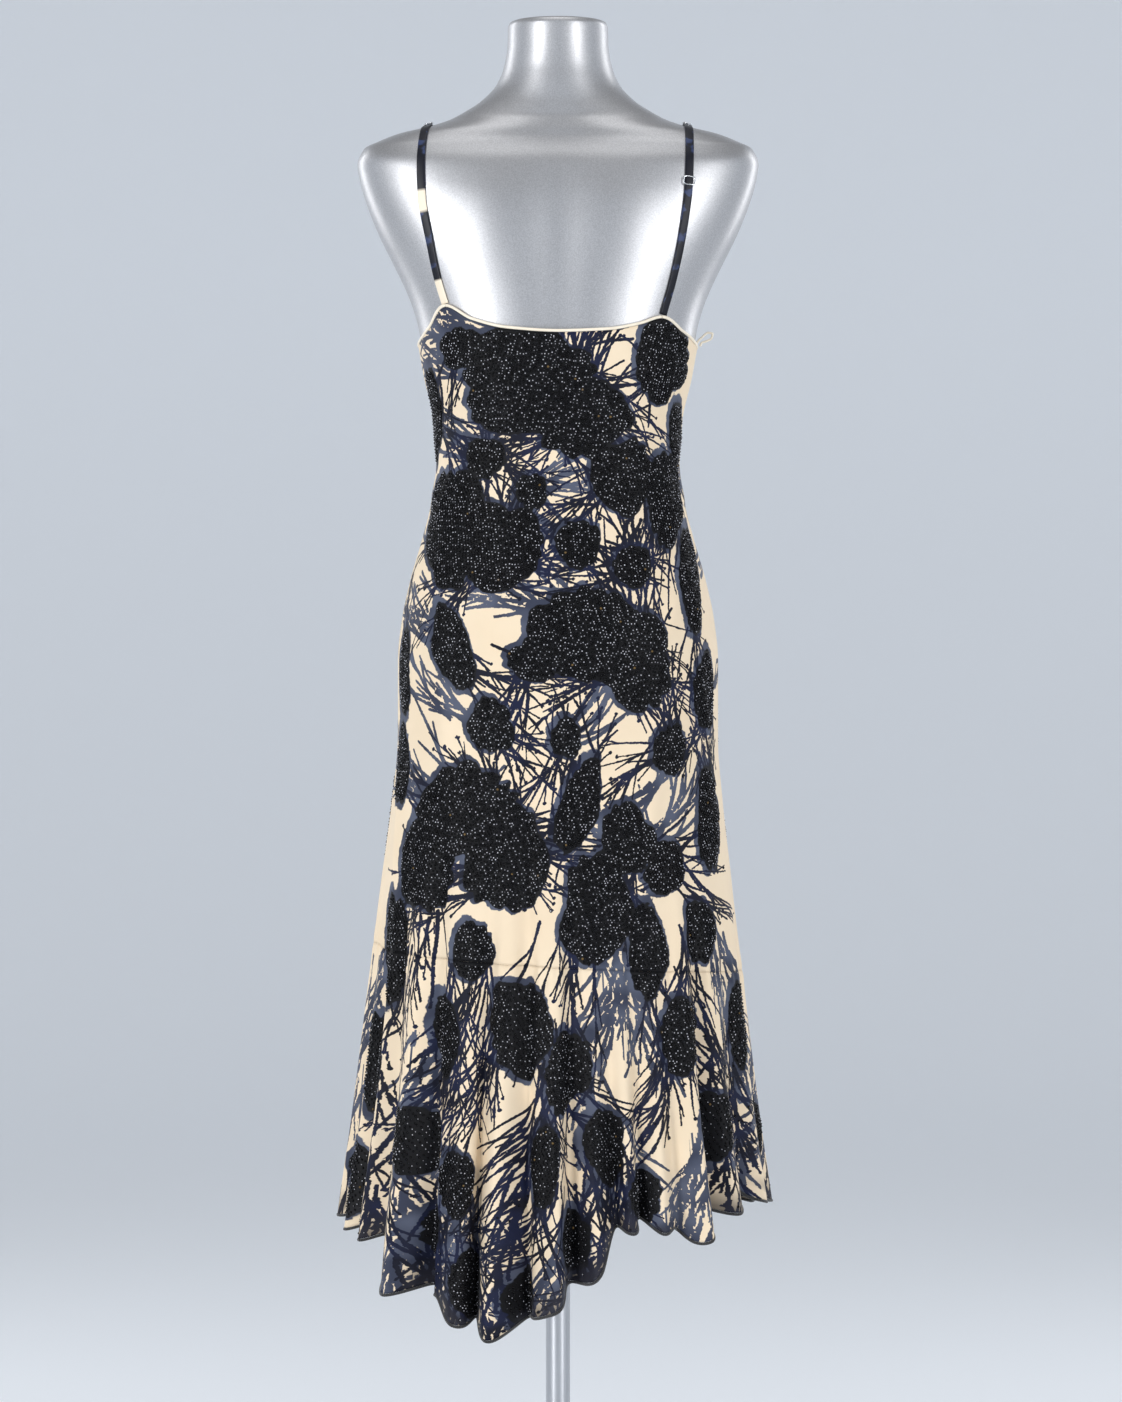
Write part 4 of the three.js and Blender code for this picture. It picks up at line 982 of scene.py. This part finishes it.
def beads(name, angle, z):
    centre, away = cloth(angle, z, -0.55 * BEAD_SIZE)
    count = len(angle)
    side = np.cross(away, rng.normal(size=(count, 3)))
    side /= np.linalg.norm(side, axis=1, keepdims=True)
    other = np.cross(away, side)
    size = BEAD_SIZE * rng.normal(1, 0.07, (count, 1, 1))
    basis = np.stack([side, other, away * 0.85], axis=1)
    points = centre[:, None, :] + size * np.einsum("pk,nkj->npj", bead_points, basis)
    faces = bead_faces[None] + (np.arange(count) * len(bead_points))[:, None, None]
    mesh = bpy.data.meshes.new(name)
    mesh.vertices.add(count * len(bead_points))
    mesh.vertices.foreach_set("co", (points * MM).ravel())
    mesh.loops.add(faces.size)
    mesh.loops.foreach_set("vertex_index", faces.ravel().astype(np.int32))
    mesh.polygons.add(count * len(bead_faces))
    mesh.polygons.foreach_set("loop_start", np.arange(0, faces.size, 3, dtype=np.int32))
    mesh.update(calc_edges=True)
    mesh.validate()
    keep(mesh, "tint", "FLOAT", np.repeat(rng.random(count), len(bead_points)))
    keep(mesh, "crown", "FLOAT", np.tile(bead_points[:, 2] > 0.5, count).astype(float))
    mesh.shade_smooth()
    mesh.materials.append(bead_glass)
    piece = put(name, mesh)
    print(count, "beads")
    return dressed(piece, "printed_silk")


bead_pieces = {name: beads("beads_" + name, *bead_places(*edges)) for name, edges in EDGES.items()}


# %% [markdown]
# Bindings and the rolled hem. A binding is a narrow strip of smooth silk folded over a raw edge, paler
# and a little glossier than the georgette. The hem is rolled and overlocked with dark thread, whose
# stitches lie across it; the crest of each stitch is painted lighter, a painted highlight. Both are thin
# tubes along an edge of the cloth.

# %% Silk and thread
cream_silk, tree, surface = new_material(
    "silk habotai, folded", Roughness=0.5, Sheen_Weight=0.2, Specular_IOR_Level=0.4
)
place = object_place(tree)
paint(tree, surface, mixed(tree, noise(tree, place, 120.0, 2.0), linear("#E9DCC4"), linear("#F7EEDD")))
bump(tree, surface, noise(tree, place, 1200.0, 1.0), 0.2, 0.2)

# Millimetres from one stitch to the next
STITCH = 1.6
hem_thread, tree, surface = new_material("polyester thread, overlocked", Roughness=0.55, Sheen_Weight=0.3)
stitch = math_of(tree, "SINE", math_of(tree, "MULTIPLY", kept(tree, "along_mm"), math.tau / STITCH))
# The crest of each stitch is painted lighter, a painted highlight where it catches the light.
paint(tree, surface, mixed(tree, ramp(tree, stitch, -0.6, 0.9), linear("#0D0C0E"), linear("#2A2726")))
bump(tree, surface, stitch, 0.6, 0.4)


def beside_edge(angle, edge, away, depth):
    """Points away millimetres up from an edge of the cloth, square to it."""
    ahead, behind = dress_points(angle + 0.25, edge(angle)), dress_points(angle - 0.25, edge(angle))
    width = np.linalg.norm(ahead - behind, axis=-1)
    climb = edge(angle + 0.25) - edge(angle - 0.25)
    length = np.hypot(width, climb)
    turn = -climb / length * away / width * 0.5
    return cloth(angle + turn, edge(angle) + width / length * away, depth)[0]


def edging(name, first, last, edge, middle, half_height, half_depth, material, slot, nodes, step=2.2):
    """Thin tube along an edge, with its middle that far up from the edge."""
    angles = np.linspace(first, last, 600)
    run = np.linalg.norm(np.diff(cloth(angles, edge(angles))[0], axis=0), axis=1)
    length = float(run.sum())
    travelled = np.concatenate([[0], np.cumsum(run)])

    def place(u, v):
        angle = np.interp(u * length, travelled, angles)
        turn = v * math.tau
        rise = middle + half_height * np.sin(turn)
        return beside_edge(angle, edge, rise, WALL / 2 + half_depth * np.cos(turn))

    piece, u, _ = bent(name, round(length / step), 10, place, material)
    keep(piece.data, "along_mm", "FLOAT", u * length)
    close_tube(piece.data)
    return dressed(piece, slot, *nodes)


def round_top(angle):
    return top_edge(np.where(angle < SIDE_LEFT, angle + 360, angle))


BINDING = {"middle": 1.7, "half_height": 1.5, "half_depth": 1.2}
BINDING |= {"edge": round_top, "material": cream_silk, "slot": "cream_silk"}
ROLL = {"middle": -1.5, "half_height": 1.45, "half_depth": 1.3}
ROLL |= {"edge": hem, "material": hem_thread, "slot": "hem_thread"}
# A binding ends a little before the strap that it meets
CLEAR = 0.1
NECK_AND_ARMS = {
    "back_neck": (BACK_LEFT_STRAP, BACK_RIGHT_STRAP),
    "front_neck": (FRONT_RIGHT_STRAP, FRONT_LEFT_STRAP),
    "armhole_right": (BACK_RIGHT_STRAP, FRONT_RIGHT_STRAP),
    "armhole_left": (FRONT_LEFT_STRAP - 360, BACK_LEFT_STRAP),
}
NODE_OF = {"armhole_right": "armhole_binding_right", "armhole_left": "armhole_binding_left"}
for name, (first, last) in NECK_AND_ARMS.items():
    stands_for = [NODE_OF.get(name, name + "_binding")]
    edging("binding_" + name, first + CLEAR, last - CLEAR, nodes=stands_for, **BINDING)
edging("rolled_hem_back", *BACK, nodes=["back_hem_roll"], **ROLL)
edging("rolled_hem_front", *FRONT, nodes=["front_hem_roll"], **ROLL)

# %% [markdown]
# The straps are narrow satin tubes pressed flat, darker and smoother than the dress, with cream where
# the print's ground falls on them. Each follows the form over the shoulder: a ray from inside the form
# finds the surface at every step, and the strap lies a hair above it.

# %% Straps
STRAP_WIDTH, STRAP_THICK, STRAP_CLEAR = 8.5, 1.4, 0.6
STRAP_LENGTH, STRAP_ROUND = 350, 20
# Columns: x and z where the ray starts, tilt from straight back over up to the front, in degrees
STRAP_LEFT = [
    (-110.5, 1307.6, 0), (-119, 1336, 0), (-126, 1370, 0), (-133.5, 1409, 0), (-135, 1428, 14),
    (-133, 1436, 38), (-130, 1440, 66), (-128.5, 1440, 92), (-126.5, 1440, 118), (-123, 1436, 146),
    (-117, 1424, 168), (-108, 1402, 180), (-98.5, 1374.2, 180),
]
STRAP_RIGHT = [
    (103, 1296.6, 0), (113, 1332, 0), (121.5, 1372, 0), (127.5, 1412, 0), (129.5, 1430, 14),
    (130, 1437, 38), (129, 1440, 66), (128, 1440, 92), (126, 1440, 118), (122.5, 1436, 146),
    (116.5, 1424, 168), (107.5, 1402, 180), (98.5, 1374.2, 180),
]


def form_measure(points):
    x, y, z = points[..., 0], points[..., 1], points[..., 2]
    side, back, front, square = (column(z) for column in form_at)
    return (np.abs(x) / side) ** square + (np.abs(y) / np.where(y < 0, back, front)) ** square


def on_form(x, z, tilt):
    """Where rays from inside the form reach its surface."""
    turn = np.radians(tilt)
    start = np.stack([x, 0 * x, z], axis=-1)
    way = np.stack([0 * x, -np.cos(turn), np.sin(turn)], axis=-1)
    inside, outside = np.zeros_like(x), np.full_like(x, 160.0)
    for _ in range(34):
        middle = (inside + outside) / 2
        within = form_measure(start + way * middle[:, None]) < 1
        inside, outside = np.where(within, middle, inside), np.where(within, outside, middle)
    return start + way * inside[:, None]


def strap_frame(route, share):
    """Points on the form along a strap, with the directions away from it, along and across the strap."""
    rows = [(i / (len(route) - 1), *row) for i, row in enumerate(route)]
    x_at, z_at, tilt_at = (smooth(rows, column) for column in (1, 2, 3))

    def at(s):
        return on_form(x_at(s), z_at(s), tilt_at(s))

    share = np.asarray(share, float)
    point = at(share)
    steps = np.eye(3) * 0.5
    away = np.stack([form_measure(point + step) - form_measure(point - step) for step in steps], axis=-1)
    away /= np.linalg.norm(away, axis=-1, keepdims=True)
    along = at(np.minimum(share + 0.01, 1)) - at(np.maximum(share - 0.01, 0))
    along /= np.linalg.norm(along, axis=-1, keepdims=True)
    across = np.cross(along, away)
    across /= np.linalg.norm(across, axis=-1, keepdims=True)
    return point, away, along, across


navy_silk, tree, surface = new_material(
    "silk satin, sewn as a tube", Roughness=0.4, Sheen_Weight=0.03, Specular_IOR_Level=0.3
)
down_strap = kept(tree, "strap_mm", "Vector")
cream_band = node(tree, "ShaderNodeSeparateXYZ", Vector=down_strap).outputs[2]
blots = ramp(tree, noise(tree, down_strap, 0.09, 2.0), 0.56, 0.6)
navy = mixed(tree, blots, linear("#0C0E1A"), linear("#2F3B5E"))
paint(tree, surface, mixed(tree, cream_band, navy, linear("#EFE2CC")))
bump(tree, surface, noise(tree, down_strap, 1.2, 1.0), 0.15, 0.2)


def squared(wave, power):
    """Turns a sine or cosine into one with flatter or sharper tops."""
    return np.sign(wave) * np.abs(wave) ** power


def strap(name, route, cream_bands, nodes):
    """Flat tube along a route. cream_bands are stretches of its length where the print is cream."""

    def place(u, v):
        point, away, _, across = strap_frame(route, u)
        turn = v * math.tau
        side = squared(np.cos(turn), 0.55) * STRAP_WIDTH / 2
        rise = STRAP_CLEAR + STRAP_THICK / 2 * (1 + squared(np.sin(turn), 0.8))
        return point + across * side[:, None] + away * rise[:, None]

    piece, u, v = bent(name, 150, 16, place, navy_silk)
    band = np.zeros_like(u)
    for start, end in cream_bands:
        band = np.maximum(band, ((u > start) & (u < end)).astype(float))
    place_mm = np.stack([u * STRAP_LENGTH, v * STRAP_ROUND, band], axis=-1)
    keep(piece.data, "strap_mm", "FLOAT_VECTOR", place_mm)
    close_tube(piece.data)
    return dressed(piece, "navy_silk", *nodes)


CREAM_LEFT = [(-0.1, 0.07), (0.225, 0.275), (0.83, 0.87)]
CREAM_RIGHT = [(0.72, 0.78)]
left_strap = strap("strap_satin_left", STRAP_LEFT, CREAM_LEFT, ["strap_left"])
right_strap = strap("strap_satin_right", STRAP_RIGHT, CREAM_RIGHT, ["strap_right"])

# %% [markdown]
# Strap fittings are plated wire, polished, so they show as bright outlines on the dark satin: a small
# ring at the top of each strap and a slider behind the right shoulder. They lie flat on the straps. The
# hanger loop is a narrow ribbon bent round along a listed route.

# %% Fittings and hanger loop
strap_metal, tree, surface = new_material("brass wire, nickel plated", Metallic=1.0, Roughness=0.16)
worn = noise(tree, object_place(tree), 900.0, 1.0)
paint(tree, surface, mixed(tree, worn, linear("#BFC2C6"), linear("#E0E2E4")))
WIRE_GAP = 0.3


def wire_frame(name, route, share, half_width, half_height, square, wire, nodes):
    """Closed wire of a rounded outline, lying flat on a strap."""
    point, away, along, across = (part[0] for part in strap_frame(route, [share]))

    def place(u, v):
        turn, round_wire = u * math.tau, v * math.tau
        c, s = np.cos(turn), np.sin(turn)
        size = (np.abs(c) ** square + np.abs(s) ** square) ** (1 / square)
        out = np.cos(round_wire) * wire
        x = (half_width + out) * c / size
        y = (half_height + out) * s / size
        rise = STRAP_CLEAR + STRAP_THICK + WIRE_GAP + wire * (1 + np.sin(round_wire))
        return point + x[:, None] * across + y[:, None] * along + rise[:, None] * away

    piece, _, _ = bent(name, 40, 10, place, strap_metal, tube=True, ring=True)
    return dressed(piece, "strap_metal", *nodes)


# Columns: place along the strap, half width, half height, squareness, half thickness of the wire
RING = (0.56, 4.6, 4.6, 2, 0.75)
SLIDER = (0.29, 5.7, 4.2, 4, 0.6)
rings = [
    wire_frame("ring_left", STRAP_LEFT, *RING, ["strap_ring_left"]),
    wire_frame("ring_right", STRAP_RIGHT, *RING, ["strap_ring_right"]),
    wire_frame("slider_frame", STRAP_RIGHT, *SLIDER, ["strap_slider_right"]),
]

# Columns: millimetres out from the side seam, and up from the armhole's lowest place
LOOP_ROUTE = [
    (-1.2, 0), (0.5, 4.5), (5, 9), (11, 13.5), (15.5, 12.5), (14.5, 8), (9, 5), (4.6, 3.4), (3.2, 0),
]
LOOP_WIDTH, LOOP_THICK = 2.6, 2.3
LOOP_HEIGHT, LOOP_SUNK = 1270.6, 0.6
loop_root = cloth(np.array([float(SIDE_RIGHT)]), np.array([LOOP_HEIGHT]), LOOP_SUNK)[0][0]
loop_rows = [(i / (len(LOOP_ROUTE) - 1), *row) for i, row in enumerate(LOOP_ROUTE)]
loop_out, loop_up = smooth(loop_rows, 1), smooth(loop_rows, 2)


def loop_place(u, v):
    along_x, along_z = loop_out(u + 0.01) - loop_out(u - 0.01), loop_up(u + 0.01) - loop_up(u - 0.01)
    length = np.hypot(along_x, along_z) + 1e-9
    turn = v * math.tau
    side = np.cos(turn) * LOOP_WIDTH / 2
    rise = np.sin(turn) * LOOP_THICK / 2
    x = loop_root[0] + loop_out(u) - along_z / length * rise
    z = loop_root[2] + loop_up(u) + along_x / length * rise
    return np.stack([x, loop_root[1] + side, z], axis=-1)


hanger, _, _ = bent("hanger_ribbon", 60, 12, loop_place, cream_silk, tube=True)
dressed(hanger, "cream_silk", "hanger_loop")

# %% [markdown]
# The drop is measured upright.

# %% [markdown]
# The studio: a pale floor that curves up into a wall all round, so that the dress can be looked at
# from every side, with soft lights on the camera's side, above and behind. The cloth of the backdrop
# glows a little, which evens out the light on the wall.

# %% Studio
BOWL_RADIUS, BOWL_CURVE, BOWL_WALL = 8.0, 2.0, 5.0

PALE = linear("#DDE1E6")
backdrop, tree, surface = new_material(
    "cotton, lit from behind", Roughness=0.9, Base_Color=PALE, Emission_Color=PALE, Emission_Strength=0.23
)


def bowl_place(u, v):
    flat_run, bend = BOWL_RADIUS - BOWL_CURVE, BOWL_CURVE * math.pi / 2
    run = v * (flat_run + bend + BOWL_WALL)
    turn = np.clip((run - flat_run) / BOWL_CURVE, 0, math.pi / 2)
    radius = np.minimum(run, flat_run) + BOWL_CURVE * np.sin(turn)
    z = BOWL_CURVE * (1 - np.cos(turn)) + np.maximum(run - flat_run - bend, 0) - 0.0005
    return np.stack([radius * np.cos(u * math.tau), radius * np.sin(u * math.tau), z], axis=-1) / MM


floor, _, _ = bent("studio_bowl", 64, 60, bowl_place, backdrop, tube=True, ring=True)

# Columns: name, place, height of the place it is aimed at, width, height, power in watts
LIGHTS = [
    ("softbox_left", (-2.5, -2.7, 1.5), 1.0, 0.8, 2.8, 70),
    ("softbox_right", (2.5, -2.7, 1.5), 1.0, 0.8, 2.8, 50),
    ("softbox_top", (0, -0.4, 4.2), 1.0, 2.4, 2.4, 22),
    ("strip_back_left", (-2.4, 1.8, 1.8), 1.1, 0.5, 2.4, 18),
    ("strip_back_right", (2.4, 1.8, 1.8), 1.1, 0.5, 2.4, 18),
]
for name, place, aim, width, height, power in LIGHTS:
    lamp = bpy.data.lights.new(name, "AREA")
    lamp.shape = "RECTANGLE"
    lamp.size, lamp.size_y, lamp.energy = width, height, power
    light = put(name, lamp)
    light.location = place
    light.rotation_euler = (Vector((0, 0, aim)) - Vector(place)).to_track_quat("-Z", "Y").to_euler()

world = bpy.data.worlds.new("studio surround")
world.use_nodes = True
surround = world.node_tree.nodes["Background"]
surround.inputs["Color"].default_value = linear("#E4E6EA")
surround.inputs["Strength"].default_value = 0.34
bpy.context.scene.world = world
bpy.context.scene.view_settings.view_transform = "Standard"

# %% [markdown]
# The camera stands five metres behind the wearer at the middle of the dress, looking level. There,
# one millimetre at the body's middle covers one pixel of the 1122 by 1402 picture.

# %% Camera
CAMERA_AWAY, CAMERA_RIGHT, CAMERA_HEIGHT = 5.0, 0.003, 0.916
PICTURE_HEIGHT, SENSOR = 1402, 36.0
camera = put("camera", bpy.data.cameras.new("camera"))
camera.data.sensor_width = SENSOR
camera.data.lens = SENSOR * CAMERA_AWAY / (PICTURE_HEIGHT * MM)
camera.location = (CAMERA_RIGHT, -CAMERA_AWAY, CAMERA_HEIGHT)
camera.rotation_euler = (math.radians(90), 0, 0)
bpy.context.scene.camera = camera
